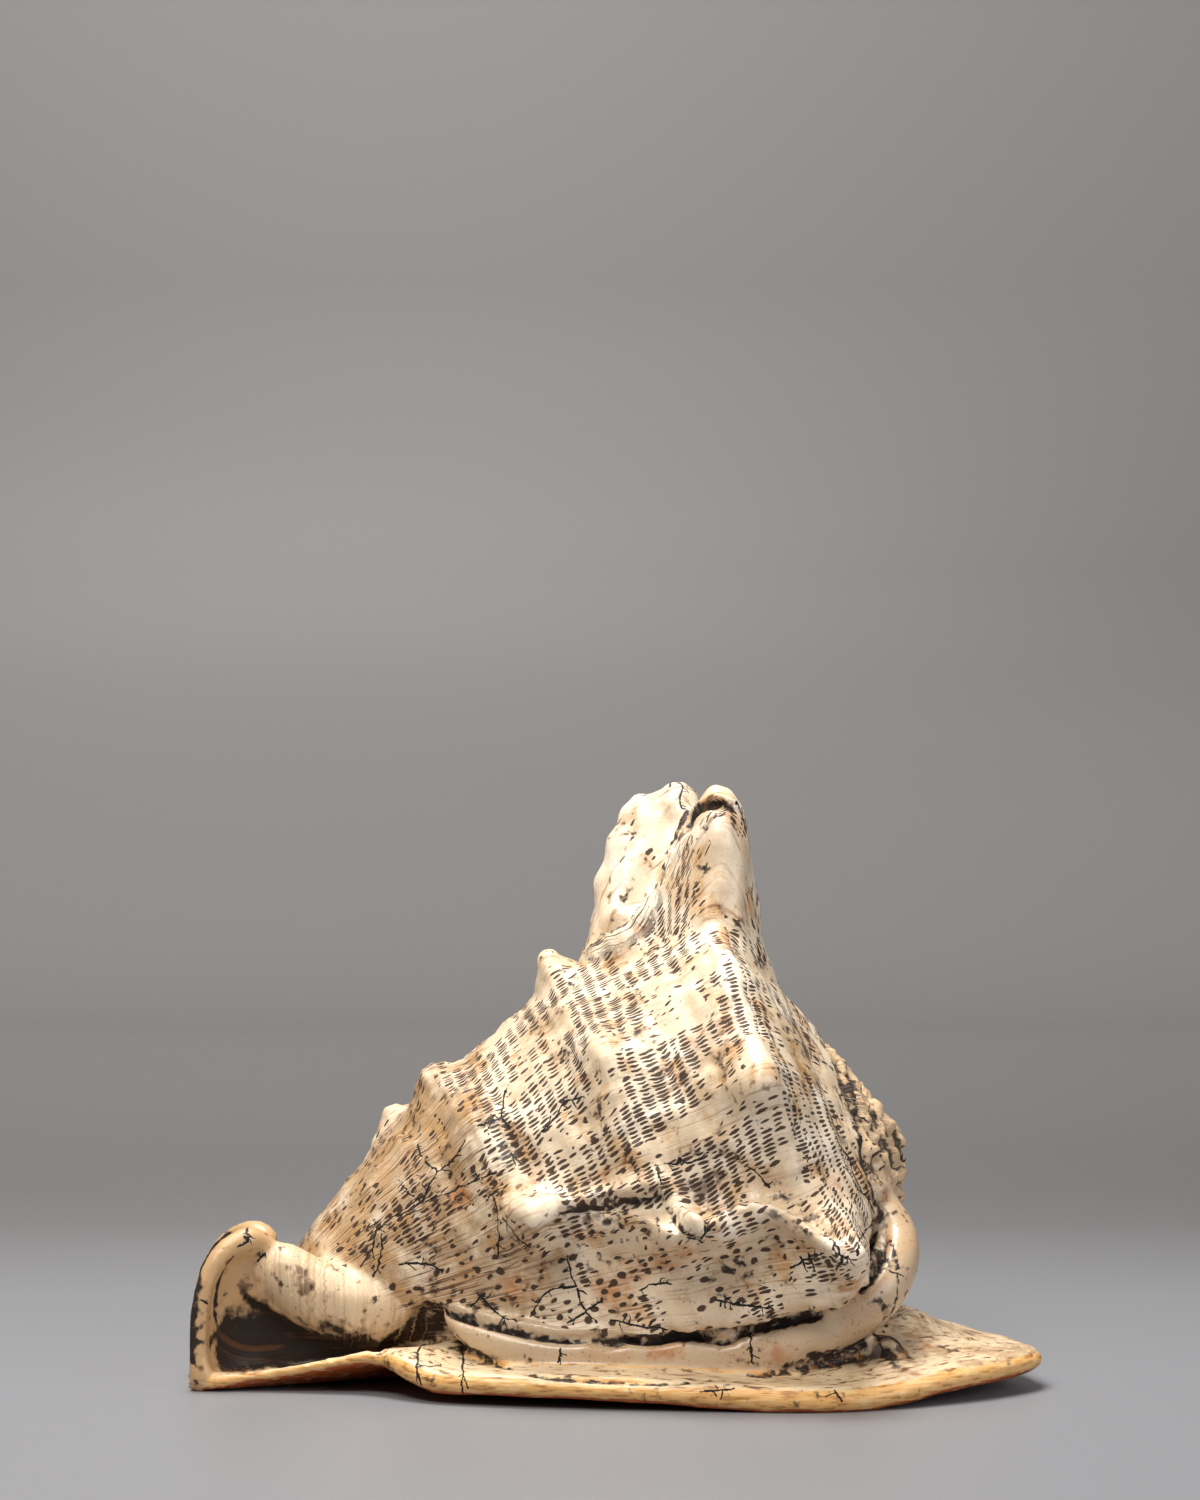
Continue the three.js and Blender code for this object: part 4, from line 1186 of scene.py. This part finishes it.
def paintMaps(shell, zones, growth, edges, shadeAndDirt, comb):
    # Everything that the material reads, stored on the points
    points, normals = readPoints(shell), readNormals(shell)
    surface = surfaceOf(shell)
    store = {name + "Zone": values for name, values in zones.items()}
    row, turn, place, rowStep, turnStep = growth.T
    combed = comb[2] > 0.02
    store.update(growthRow=row, rowStep=rowStep, turnStep=turnStep)
    # On the horn's crest the lines follow the crest instead of the growth
    store["growthPlace"] = np.where(combed, 30 + 1.4 * comb[0], place)
    store["growthTurn"] = np.where(combed & (comb[2] > 0.5), 60 * comb[1], turn)
    # How shut in each point is, and how far it stands out at a small and a large size
    rays = 22
    crevice = spread(creviceAt(points, normals, surface, 14, rays), edges, 1)
    smooth = spread(points, edges, 14)
    ridge = spread(np.einsum("ij,ij->i", points - smooth, normals) * 1000, edges, 2)
    broad = spread(points, edges, 90)
    bulge = spread(np.einsum("ij,ij->i", points - broad, normals) * 1000, edges, 4)
    mm = points * 1000 + np.array(boxMiddle)
    x, y, z = mm.T
    # Each point's pixel in the photo, which tells the far horn from the near one at the crest
    distance = y - boxMiddle[1] - camera["place"][1]
    focal = camera["lens"] / camera["sensor"] * camera["picture"][1]
    pixelX = camera["picture"][0] / 2 + focal * (x - boxMiddle[0] - camera["place"][0]) / distance
    pixelY = camera["picture"][1] / 2 + focal * (camera["place"][2] - z) / distance
    crest = np.array(sculpt["creases"]["hornCrest"][0], float)[::-1]
    leftOfCrest = np.interp(pixelY, crest[:, 1], crest[:, 0]) - pixelX
    farHorn = smoothstep(leftOfCrest, 0, 8) * (1 - smoothstep(pixelY, 925, 950))
    # Where on the shell a point is
    whorlShare = zones["whorl"]
    onShoulder = 1 - smoothstep(place, 24, 31)
    onSpire = whorlShare * (1 - smoothstep(place, coil["suture"] - 0.5, coil["suture"] + 2))
    foldTurn = onLine(fold["path"], place)
    belowFold = 1 - smoothstep(turn - foldTurn, -4, 1)
    towardsCanal = smoothstep(place, 105, 150)
    # Random patches, by their size in millimetres
    patches = {size: wander(points, size, seed) for size, seed in ((55, 31), (26, 32), (14, 33), (8, 34))}
    tips = smoothstep(bulge, 1.0, 3.2)
    high = smoothstep(z, 132, 158) * smoothstep(place, 27, 33)
    front = 1 - smoothstep(y, 5, 30)
    # Pits and blots: how many of the places in the rows hold a mark
    dense = 0.80 + 0.75 * patches[26] + 0.35 * patches[14]
    dense = np.clip(dense - 0.75 * belowFold - 0.45 * tips - 0.6 * towardsCanal - 0.85 * high, 0.02, 0.98)
    store["pits"] = whorlShare * (1 - onSpire) * dense * (1 - 0.9 * farHorn) * (1 - comb[2])
    sparse = 0.10 + 0.3 * patches[14] + 0.34 * belowFold - 0.25 * tips + 0.12 * towardsCanal - 0.1 * high
    sparse = np.clip(sparse, 0.02, 0.8)
    store["blots"] = whorlShare * (1 - onSpire) * sparse * (1 - 0.6 * farHorn) * (1 - comb[2])
    # Growth lines, strokes and shoulder striae
    store["lines"] = whorlShare * np.clip(0.5 + 0.5 * patches[14] + 0.6 * towardsCanal, 0, 1)
    strokeShare = smoothstep(place, 112, 136) * (1 - smoothstep(place, 190, 205))
    store["strokes"] = whorlShare * strokeShare * np.clip(0.55 + 0.7 * patches[26], 0, 1)
    store["striae"] = whorlShare * onShoulder * (1 - onSpire) * np.clip(0.45 + 0.6 * patches[14], 0, 1)
    store["striae"] *= 1 - 0.75 * smoothstep(z, 138, 152)
    store["striae"] = np.where(combed, comb[2], store["striae"])
    # Coats of colour on the whorls
    store["spireBase"] = onSpire
    store["crust"] = onSpire * (0.72 - 0.75 * smoothstep(ridge, -0.35, 0.2))
    store["cream"] = whorlShare * np.clip(0.35 + 0.45 * patches[26] + 0.15 * smoothstep(bulge, 0, 2.5), 0, 1)
    # The left, front-facing slope is darker and browner: its tan tone with painted shade
    leftSlopeTanAndShade = smoothstep(-x, 15, 75) * front
    tanned = 0.20 + 0.45 * patches[55] + 0.25 * patches[14] + 0.3 * towardsCanal + 0.15 * belowFold
    store["tan"] = whorlShare * np.clip(tanned - 0.3 * tips + 0.45 * leftSlopeTanAndShade - 0.2 * high, 0, 1)
    store["slope"] = whorlShare * leftSlopeTanAndShade * np.clip(0.8 + 0.5 * patches[14], 0, 1)
    check = np.sin(row * 2.1 + patches[26]) * np.sin(turn * 0.42 + 2 * patches[26])
    honey = np.clip(0.15 + 0.5 * check + 0.5 * patches[14] + 0.12 * high, 0, 1)
    # The far horn is painted paler, with more cream and less honey, as painted light where the light falls on
    # it; its fewer pits and blots are wear
    store["honey"] = honey * whorlShare * (1 - 0.5 * farHorn)
    store["cream"] = np.clip(store["cream"] + 0.3 * farHorn, 0, 1)
    # Coats on the roll, the shield and the underside
    store["rollWarm"] = zones["roll"] * np.clip(0.3 + 0.5 * patches[26] + 0.5 * smoothstep(x, 50, 90), 0, 1)
    faceUp = zones["plate"] * smoothstep(normals[:, 2], 0.5, 0.9)
    store["plateTop"] = faceUp * (1 - smoothstep(np.abs(z - 20), 14, 30))
    aged = smoothstep(x, 55, 105) * np.clip(0.7 + 0.6 * patches[14], 0, 1)
    store["plateTan"] = faceUp * aged
    under = smoothstep(-normals[:, 2], 0.45, 0.85) * (1 - smoothstep(z, 9, 14))
    store["glaze"] = under * (1 - zones["teeth"]) * (1 - 0.5 * smoothstep(y, 40, 90))
    # The dark hollow of the canal, away from the edge of its near wall: painted shade with dirt, nearly black
    wall = nearestOf(toMetres(smoothPath([line[:3] for line in rolls["nearWall"]], 2)))
    fromEdge = np.array([wall.find(point)[2] for point in points]) * 1000
    spout = (zones["canal"] + 0.4 * zones["cord"]) * (1 - smoothstep(z, 14, 32)) * (1 - smoothstep(y, -6, 6))
    store["hollow"] = spout * smoothstep(fromEdge, 4, 11) * smoothstep(-normals[:, 1], -0.4, 0.1)
    # Dirt with painted shade in the creases and where the shell closes in, and stains
    # Painted shade where the shell closes in over a point, joined with the dirt and painted shade along the
    # creases
    shut = np.clip((crevice - 0.27) / 0.36 * (1 - 0.6 * zones["inside"]) - 0.5 * under, 0, 1)
    store["grime"] = np.clip(np.maximum(shut, 1.1 * shadeAndDirt), 0, 1)
    store["specks"] = np.clip(zones["roll"] * (0.5 + 0.5 * patches[26]) + 0.3 * whorlShare, 0, 1)
    store["rust"] = stainAt(points, surface, stains["rust"])
    store["umber"] = stainAt(points, surface, stains["umber"])
    # The way along the rim and the cord, and the distance from each, for their streaks
    rim = roundLoop(shield["rim"], 720)[:, :2]
    cordLine = smoothPath([line[:2] for line in rolls["fasciole"]], 1)
    for name, spots in (("rim", rim), ("cord", cordLine)):
        tree = nearestOf([(alongX, alongY, 0) for alongX, alongY in spots])
        found = [tree.find((atX, atY, 0)) for atX, atY in mm[:, :2]]
        store[name + "Run"] = np.array([i for spot, i, gap in found], float)
        store[name + "Gap"] = np.array([gap for spot, i, gap in found])
    store["cordGap"] = np.hypot(store["cordGap"], z - 30)
    for name, values in store.items():
        storeFloats(shell, name, values)
    markCracks(shell, zones)
    print("maps:", len(store), "on", len(points), "points")


def linear(code):
    # An sRGB hex colour as linear red, green, blue and full cover
    parts = [int(code[i:i + 2], 16) / 255 for i in (1, 3, 5)]
    return (*[c / 12.92 if c <= 0.04045 else ((c + 0.055) / 1.055) ** 2.4 for c in parts], 1.0)


# Aragonite laid down by the animal in layers, then worn and stained with age: a chalky ivory with a
# low gloss, dark matter caught in its pits and cracks, dirt with painted shade in its creases and
# hollows, and glazed where the foot covered it
skinColours = {
    "base": ("#eedabd", "#ddc19c"),
    # map, colour, from, to, how far the mottle breaks its edge, strength
    "coats": [
        ("cream", "#f9e8d1", 0.25, 0.85, 0.5, 0.85),
        ("tan", "#ad8a62", 0.2, 0.95, 0.5, 0.75),
        ("honey", "#cf9a58", 0.3, 0.9, 0.4, 0.55),
        # Darker tan on the left slope: its tan tone with painted shade
        ("slope", "#c49a66", 0.2, 0.9, 0.5, 0.5),
        ("rollZone", "#cdb596", 0.35, 0.65, 0.0, 0.92),
        ("rollWarm", "#c19468", 0.2, 0.9, 0.3, 0.42),
        ("cordZone", "#d9be9a", 0.3, 0.7, 0.1, 0.9),
        ("canalZone", "#c89f6e", 0.3, 0.7, 0.2, 0.9),
        ("plateZone", "#edb56a", 0.3, 0.7, 0.1, 0.95),
        ("plateTop", "#dfcdae", 0.3, 0.9, 0.5, 0.85),
        ("plateTan", "#a78258", 0.3, 0.9, 0.8, 0.6),
        ("spireBase", "#d8b78e", 0.3, 0.7, 0.2, 0.85),
        ("insideZone", "#d3955a", 0.4, 0.6, 0.0, 1.0),
        ("glaze", "#c2551f", 0.2, 0.8, 0.3, 0.95),
        ("teethZone", "#f2d5a4", 0.4, 0.6, 0.0, 0.9),
        ("rust", "#bb7236", 0.35, 1.1, 0.6, 0.6),
        ("umber", "#4a2a18", 0.5, 1.0, 0.9, 0.75),
        ("crust", "#2c1d12", 0.25, 0.7, 0.9, 0.92),
        # Nearly black in the canal's hollow: painted shade with dirt
        ("hollow", "#1e1008", 0.2, 0.6, 0.35, 1.0),
        # Dirt with painted shade, darkest in the creases and where the shell closes in
        ("grime", "#26170d", 0.3, 0.8, 0.8, 1.0),
    ],
    "growthLine": "#7a4a24", "stria": "#3a2618", "pit": "#38200f", "crack": "#110c09", "speck": "#6a3f20",
    "streakDark": "#a86a2c", "streakPale": "#f6dca6",
}
# Aragonite's index, a thin low gloss over it and a little light carried under the surface
skinFinish = {
    "Coat Weight": 0.12, "Coat Roughness": 0.2, "IOR": 1.53, "Subsurface Weight": 0.06,
    "Subsurface Radius": (0.004, 0.002, 0.001), "Subsurface Scale": 0.5,
}
# Marks in the rows, in millimetres; jitter and slant are shares of the gap between marks
dashes = {
    "rowGap": 4.9, "markGap": 1.55, "halfLength": 1.4, "halfWidth": 0.4, "jitter": 0.06, "slant": 0.5,
    "seed": 1.0,
}
blots = {
    "rowGap": 4.9, "markGap": 3.4, "halfLength": 1.05, "halfWidth": 0.62, "jitter": 0.2, "slant": 0.2,
    "seed": 4.0,
}


def rowsOfMarks(tree, maps, kind, amount):
    # Marks along the spiral rows; rows split and marks multiply where growth stretched the shell
    add = partial(addNode, tree)
    counts = []
    for step, gap, base in (("rowStep", kind["rowGap"], 2.0), ("turnStep", kind["markGap"], math.sqrt(2))):
        count = maps[step]
        for operation, other in (("DIVIDE", gap), ("LOGARITHM", base), ("ROUND", 0.0)):
            count = add("Math", {0: count, 1: other}, operation=operation)[0]
        counts.append(add("Math", {0: base, 1: count}, operation="POWER")[0])
    wobbled = {0: maps["growthRow"], 1: counts[0], 2: maps["rowWobble"]}
    row = add("Math", wobbled, operation="MULTIPLY_ADD")[0]
    rowIndex = add("Math", {0: row}, operation="FLOOR")[0]
    rowPart = add("Math", {0: row}, operation="FRACT")[0]
    rowPart = add("Math", {0: rowPart, 1: 0.5}, operation="SUBTRACT")[0]
    seeded = add("Math", {0: rowIndex, 1: kind["seed"]}, operation="ADD")[0]
    phase = add("TexWhiteNoise", {"W": seeded}, noise_dimensions="1D")[0]
    phase = add("Math", {0: phase, 1: 9.0, 2: maps["turnWobble"]}, operation="MULTIPLY_ADD")[0]
    phase = add("Math", {0: rowPart, 1: kind["slant"], 2: phase}, operation="MULTIPLY_ADD")[0]
    turn = add("Math", {0: maps["growthTurn"], 1: counts[1], 2: phase}, operation="MULTIPLY_ADD")[0]
    turnIndex = add("Math", {0: turn}, operation="FLOOR")[0]
    turnPart = add("Math", {0: turn}, operation="FRACT")[0]
    turnPart = add("Math", {0: turnPart, 1: 0.5}, operation="SUBTRACT")[0]
    cell = add("CombineXYZ", {0: rowIndex, 1: turnIndex, 2: kind["seed"]})[0]
    dice = add("TexWhiteNoise", {"Vector": cell}, noise_dimensions="3D")
    throws = add("SeparateXYZ", {0: dice[1]})
    shift = add("Math", {0: throws[0], 1: 0.5}, operation="SUBTRACT")[0]
    jitter = 2 * kind["jitter"]
    rowPart = add("Math", {0: shift, 1: jitter, 2: rowPart}, operation="MULTIPLY_ADD")[0]
    gaps = []
    for part, step, count, half in ((rowPart, "rowStep", counts[0], kind["halfLength"]),
                                    (turnPart, "turnStep", counts[1], kind["halfWidth"])):
        steps = (("MULTIPLY", maps[step]), ("DIVIDE", count), ("DIVIDE", half), ("POWER", 2.0))
        for operation, other in steps:
            part = add("Math", {0: part, 1: other}, operation=operation)[0]
        gaps.append(part)
    gap = add("Math", {0: gaps[0], 1: gaps[1]}, operation="ADD")[0]
    size = add("MapRange", {0: throws[1], 1: 0.0, 2: 1.0, 3: 0.45, 4: 1.9})[0]
    gap = add("Math", {0: gap, 1: size}, operation="DIVIDE")[0]
    gap = add("Math", {0: maps["fineMottle"], 1: 0.5, 2: gap}, operation="MULTIPLY_ADD")[0]
    mark = add("MapRange", {0: gap, 1: 1.5, 2: 0.75}, interpolation_type="SMOOTHSTEP")[0]
    there = add("Math", {0: throws[2], 1: amount}, operation="LESS_THAN")[0]
    return add("Math", {0: mark, 1: there}, operation="MULTIPLY")[0]


def paintShell(material):
    material.use_nodes = True
    tree = material.node_tree
    add = partial(addNode, tree)
    shader = tree.nodes["Principled BSDF"]
    maps = {}
    for name in (
        "growthRow", "growthTurn", "growthPlace", "rowStep", "turnStep", "pits", "blots", "lines", "striae",
        "strokes", "rollZone", "cordZone", "canalZone", "plateZone", "plateTop", "rimRun", "rimGap",
        "cordRun", "cordGap", "hollow", "glaze", "specks", "crust",
    ):
        maps[name] = add("Attribute", attribute_name=name)["Fac"]
    place = add("TexCoord")["Object"]
    # Mottle at three real sizes, about 12, 3 and 1 mm
    for name, size, detail in (("mottle", 12, 4), ("speckle", 3, 3), ("fine", 1, 2)):
        noise = {"Vector": place, "Scale": 1000 / size, "Detail": float(detail)}
        maps[name] = add("TexNoise", noise)[0]
    wobbles = (("fineMottle", "fine", 1.0), ("rowWobble", "mottle", 0.5), ("turnWobble", "mottle", 2.2))
    for name, source, size in wobbles:
        moved = add("Math", {0: maps[source], 1: 0.5}, operation="SUBTRACT")[0]
        maps[name] = add("Math", {0: moved, 1: size}, operation="MULTIPLY")[0]
    blend = add("MapRange", {0: maps["mottle"], 1: 0.35, 2: 0.65})[0]
    pale, deep = [linear(code) for code in skinColours["base"]]
    colour = add("Mix", {0: blend, 6: pale, 7: deep}, data_type="RGBA")[2]
    broken = add("Math", {0: maps["mottle"], 1: maps["speckle"]}, operation="ADD")[0]
    broken = add("Math", {0: broken, 1: 1.0}, operation="SUBTRACT")[0]
    for name, code, low, high, breaks, strength in skinColours["coats"]:
        value = maps.get(name) or add("Attribute", attribute_name=name)["Fac"]
        value = add("Math", {0: broken, 1: 2 * breaks, 2: value}, operation="MULTIPLY_ADD")[0]
        limits = {0: value, 1: low, 2: high, 3: 0.0, 4: strength}
        cover = add("MapRange", limits, interpolation_type="SMOOTHSTEP")[0]
        maps[name + "Cover"] = cover
        colour = add("Mix", {0: cover, 6: colour, 7: linear(code)}, data_type="RGBA")[2]
    # Streaks along the shield's rim, ridges across the cord, growth lines across the whorl and
    # striae along its shoulder: one noise each, drawn out along its own way
    drawn = {
        "rimStreaks": ("rimRun", 0.16, "rimGap", 0.5),
        "cordRings": ("cordRun", 0.9, "cordGap", 0.12),
        "growthLines": ("growthTurn", 1.5, "growthPlace", 0.035),
        "striaLines": ("growthPlace", 1.3, "growthTurn", 0.1),
        "strokeLines": ("growthTurn", 0.8, "growthPlace", 0.09),
        "canalLines": ("cordGap", 0.45, "cordRun", 0.05),
    }
    height = add("SeparateXYZ", {0: place})[2]
    height = add("Math", {0: height, 1: 900.0}, operation="MULTIPLY")[0]
    for name, (first, firstScale, second, secondScale) in drawn.items():
        parts = []
        for source, scale in ((first, firstScale), (second, secondScale)):
            parts.append(add("Math", {0: maps[source], 1: scale}, operation="MULTIPLY")[0])
        third = height if name == "rimStreaks" else 0.0
        way = add("CombineXYZ", {0: parts[0], 1: parts[1], 2: third})[0]
        maps[name] = add("TexNoise", {"Vector": way, "Scale": 1.0, "Detail": 3.0})[0]
    # Lines and streaks: name, zone it lies in, colour, from, to, strength
    for name, zone, code, low, high, strength in (
        ("rimStreaks", "plateZone", skinColours["streakDark"], 0.5, 0.68, 0.75),
        ("rimStreaks", "plateZone", skinColours["streakPale"], 0.46, 0.3, 0.6),
        ("cordRings", "cordZone", skinColours["streakDark"], 0.52, 0.72, 0.5),
        ("cordRings", "cordZone", skinColours["streakPale"], 0.46, 0.3, 0.6),
        ("canalLines", "hollow", skinColours["growthLine"], 0.55, 0.66, 0.35),
        ("growthLines", "lines", skinColours["growthLine"], 0.55, 0.64, 0.75),
        ("growthLines", "lines", skinColours["coats"][0][1], 0.44, 0.34, 0.5),
        ("striaLines", "striae", skinColours["stria"], 0.5, 0.58, 0.9),
        ("strokeLines", "strokes", skinColours["pit"], 0.57, 0.62, 0.95),
        ("rimStreaks", "plateTop", skinColours["stria"], 0.6, 0.68, 0.75),
        ("fine", "specks", skinColours["speck"], 0.60, 0.68, 0.6),
    ):
        limits = {0: maps[name], 1: low, 2: high, 3: 0.0, 4: strength}
        mask = add("MapRange", limits, interpolation_type="SMOOTHSTEP")[0]
        mask = add("Math", {0: mask, 1: maps[zone]}, operation="MULTIPLY")[0]
        colour = add("Mix", {0: mask, 6: colour, 7: linear(code)}, data_type="RGBA")[2]
    pits = rowsOfMarks(tree, maps, dashes, maps["pits"])
    spots = rowsOfMarks(tree, maps, blots, maps["blots"])
    pits = add("Math", {0: pits, 1: spots}, operation="MAXIMUM")[0]
    cover = add("Math", {0: pits, 1: 0.96}, operation="MULTIPLY")[0]
    colour = add("Mix", {0: cover, 6: colour, 7: linear(skinColours["pit"])}, data_type="RGBA")[2]
    # Cracks: a thin black line where a stroke's sideways distance is nearly nothing
    crack = None
    for name in cracks["layers"]:
        stored = add("Attribute", attribute_name=name)["Vector"]
        side, share, sure = add("SeparateXYZ", {0: stored})[:3]
        side = add("Math", {0: maps["fineMottle"], 1: 0.7, 2: side}, operation="MULTIPLY_ADD")[0]
        side = add("Math", {0: side}, operation="ABSOLUTE")[0]
        width = add("MapRange", {0: maps["speckle"], 1: 0.3, 2: 0.7, 3: 0.3, 4: 1.0})[0]
        width = add("Math", {0: width, 1: cracks["layers"][name]}, operation="MULTIPLY")[0]
        narrow = add("Math", {0: width, 1: 0.55}, operation="MULTIPLY")[0]
        line = add("MapRange", {0: side, 1: width, 2: narrow}, interpolation_type="SMOOTHSTEP")[0]
        tests = ((share, 0.0, "GREATER_THAN"), (share, 1.0, "LESS_THAN"), (sure, 0.97, "GREATER_THAN"))
        for value, edge, operation in tests:
            inside = add("Math", {0: value, 1: edge}, operation=operation)[0]
            line = add("Math", {0: line, 1: inside}, operation="MULTIPLY")[0]
        crack = line if crack is None else add("Math", {0: crack, 1: line}, operation="MAXIMUM")[0]
    colour = add("Mix", {0: crack, 6: colour, 7: linear(skinColours["crack"])}, data_type="RGBA")[2]
    tree.links.new(colour, shader.inputs["Base Color"])
    # Roughness: worn chalk, glossier on the roll and glazed underneath, dull in the dirt, the crust and the
    # painted shade
    rough = add("MapRange", {0: maps["speckle"], 1: 0.3, 2: 0.7, 3: 0.36, 4: 0.5})[0]
    for mask, value in ((maps["rollZoneCover"], 0.3), (maps["glazeCover"], 0.22), (maps["grimeCover"], 0.8),
                        (maps["crustCover"], 0.75), (maps["hollowCover"], 0.9), (pits, 0.8), (crack, 0.85)):
        rough = add("Mix", {0: mask, 2: rough, 3: value}, data_type="FLOAT")[0]
    tree.links.new(rough, shader.inputs["Roughness"])
    # Heights in millimetres, from the photo's pits, cracks and ridges
    relief = add("Math", {0: maps["fineMottle"], 1: 0.05}, operation="MULTIPLY")[0]
    for mask, depth in ((pits, -0.22), (crack, -0.3)):
        relief = add("Math", {0: mask, 1: depth, 2: relief}, operation="MULTIPLY_ADD")[0]
    for name, zone, depth in (
        ("rimStreaks", "plateZone", -0.35), ("cordRings", "cordZone", -0.5), ("canalLines", "hollow", -0.8),
        ("growthLines", "lines", -0.35), ("striaLines", "striae", -0.5), ("speckle", "crust", 1.2),
    ):
        part = add("Math", {0: maps[name], 1: maps[zone]}, operation="MULTIPLY")[0]
        relief = add("Math", {0: part, 1: depth, 2: relief}, operation="MULTIPLY_ADD")[0]
    bump = add("Bump", {"Height": relief, "Distance": 0.001, "Strength": 1.0})[0]
    tree.links.new(bump, shader.inputs["Normal"])
    for name, value in skinFinish.items():
        shader.inputs[name].default_value = value
    print("material:", len(tree.nodes), "nodes")


skin, sources, grown = makeShell()
thinOut(skin)
skinEdges = readEdges(skin)
skinZones = zonesAt(readPoints(skin), sources, 0.7)
skinZones = {name: spread(values, skinEdges, 2) for name, values in skinZones.items()}
skinGrowth = growthAt(readPoints(skin), grown)
print("zones and growth read")
creaseShadeAndDirt, crestComb = sculptShell(skin, skinZones, skinGrowth)
paintMaps(skin, skinZones, skinGrowth, skinEdges, creaseShadeAndDirt, crestComb)
for polygon in skin.data.polygons:
    polygon.use_smooth = True
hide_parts("shell")
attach(skin, "root")
paintShell(shellMatter)
skin.data.materials.clear()
skin.data.materials.append(shellMatter)

lens = bpy.data.cameras.new("camera")
lens.lens = camera["lens"]
lens.sensor_width = camera["sensor"]
eye = bpy.data.objects.new("camera", lens)
eye.location = toMetres([camera["place"]])[0]
eye.rotation_euler = (math.radians(90), 0, 0)
bpy.context.scene.collection.objects.link(eye)
bpy.context.scene.camera = eye

# Floor and backdrop: one wide sheet of paper that curves up behind the shell
sweep = {
    "near": -4.0, "bendsAt": 1.8, "radius": 0.6, "height": 3.4, "half": 4.5,
    # metres behind the shell, and further up the wall, and the grey there; its darker and lighter bands are
    # painted shade and painted light
    "greysWithPaintedShade": [(0.0, "#838489"), (0.2, "#7f8084"), (0.45, "#6a696b"), (0.6, "#676667"), (0.8, "#6c6b6b"),
              (1.14, "#7b7a7a"), (1.67, "#8f8d8c"), (2.1, "#969493"), (2.35, "#979594"), (2.47, "#959392"),
              (2.56, "#908e8d"), (2.7, "#8c8a89"), (2.8, "#908e8d"), (2.95, "#979594"), (3.2, "#9c9a99")],
}
bend = np.linspace(0, math.pi / 2, 24)
line = [(sweep["near"], 0), (0, 0)]
bendsAt, radius = sweep["bendsAt"], sweep["radius"]
line += [(bendsAt + radius * math.sin(a), radius * (1 - math.cos(a))) for a in bend]
line += [(line[-1][0], z) for z in np.linspace(radius + 0.2, sweep["height"], 12)]
points = [(side * sweep["half"], y, z) for y, z in line for side in (-1, 1)]
floor = newObject("sweep", points, [(2 * i, 2 * i + 1, 2 * i + 3, 2 * i + 2) for i in range(len(line) - 1)])
for polygon in floor.data.polygons:
    polygon.use_smooth = True
# Satin coated card: smooth, faintly glossy, its grey cooler near the camera than on the wall, with painted
# shade darkest on the floor just behind the shell
paper = bpy.data.materials.new("satinCard")
paper.use_nodes = True
tree = paper.node_tree
add = partial(addNode, tree)
where = add("SeparateXYZ", {0: add("TexCoord")["Object"]})
share = add("Math", {0: where[1], 1: where[2]}, operation="ADD")[0]
farthest = sweep["greysWithPaintedShade"][-1][0]
share = add("Math", {0: share, 1: farthest}, operation="DIVIDE")[0]
ramp = add("ValToRGB", {0: share})
stops = tree.nodes[-1].color_ramp.elements
for i, (at, code) in enumerate(sweep["greysWithPaintedShade"]):
    stop = stops[0] if i == 0 else stops.new(at / farthest) if i < len(sweep["greysWithPaintedShade"]) - 1 else stops[-1]
    stop.position = at / farthest
    stop.color = linear(code)
tree.links.new(ramp[0], tree.nodes["Principled BSDF"].inputs["Base Color"])
tree.nodes["Principled BSDF"].inputs["Roughness"].default_value = 0.42
floor.data.materials.append(paper)

world = bpy.data.worlds.new("studio")
world.use_nodes = True
world.node_tree.nodes["Background"].inputs["Color"].default_value = linear("#c9ccd2")
world.node_tree.nodes["Background"].inputs["Strength"].default_value = 0.16
bpy.context.scene.world = world
bpy.context.scene.view_settings.view_transform = "Standard"
lights = {
    # place, size, watts, colour
    "key": ((-0.45, -0.85, 1.2), 0.5, 13.6, "#fff8ee"),
    "fill": ((1.1, -0.9, 0.6), 0.8, 7, "#f6f8ff"),
    "top": ((-0.12, 0.02, 1.35), 0.6, 17.5, "#fffcf6"),
    "wall": ((-0.4, 0.7, 2.3), 1.4, 40, "#fffdfb"),
}
for name, (place, size, power, code) in lights.items():
    light = bpy.data.lights.new(name, "AREA")
    light.size = size
    light.energy = power
    light.color = linear(code)[:3]
    lamp = bpy.data.objects.new(name, light)
    lamp.location = place
    aim = Vector((-0.4, 2.2, 0.5)) if name == "wall" else Vector((0, 0, 0.08))
    lamp.rotation_euler = (aim - Vector(place)).to_track_quat("-Z", "Y").to_euler()
    bpy.context.scene.collection.objects.link(lamp)
print("stage and lights set")
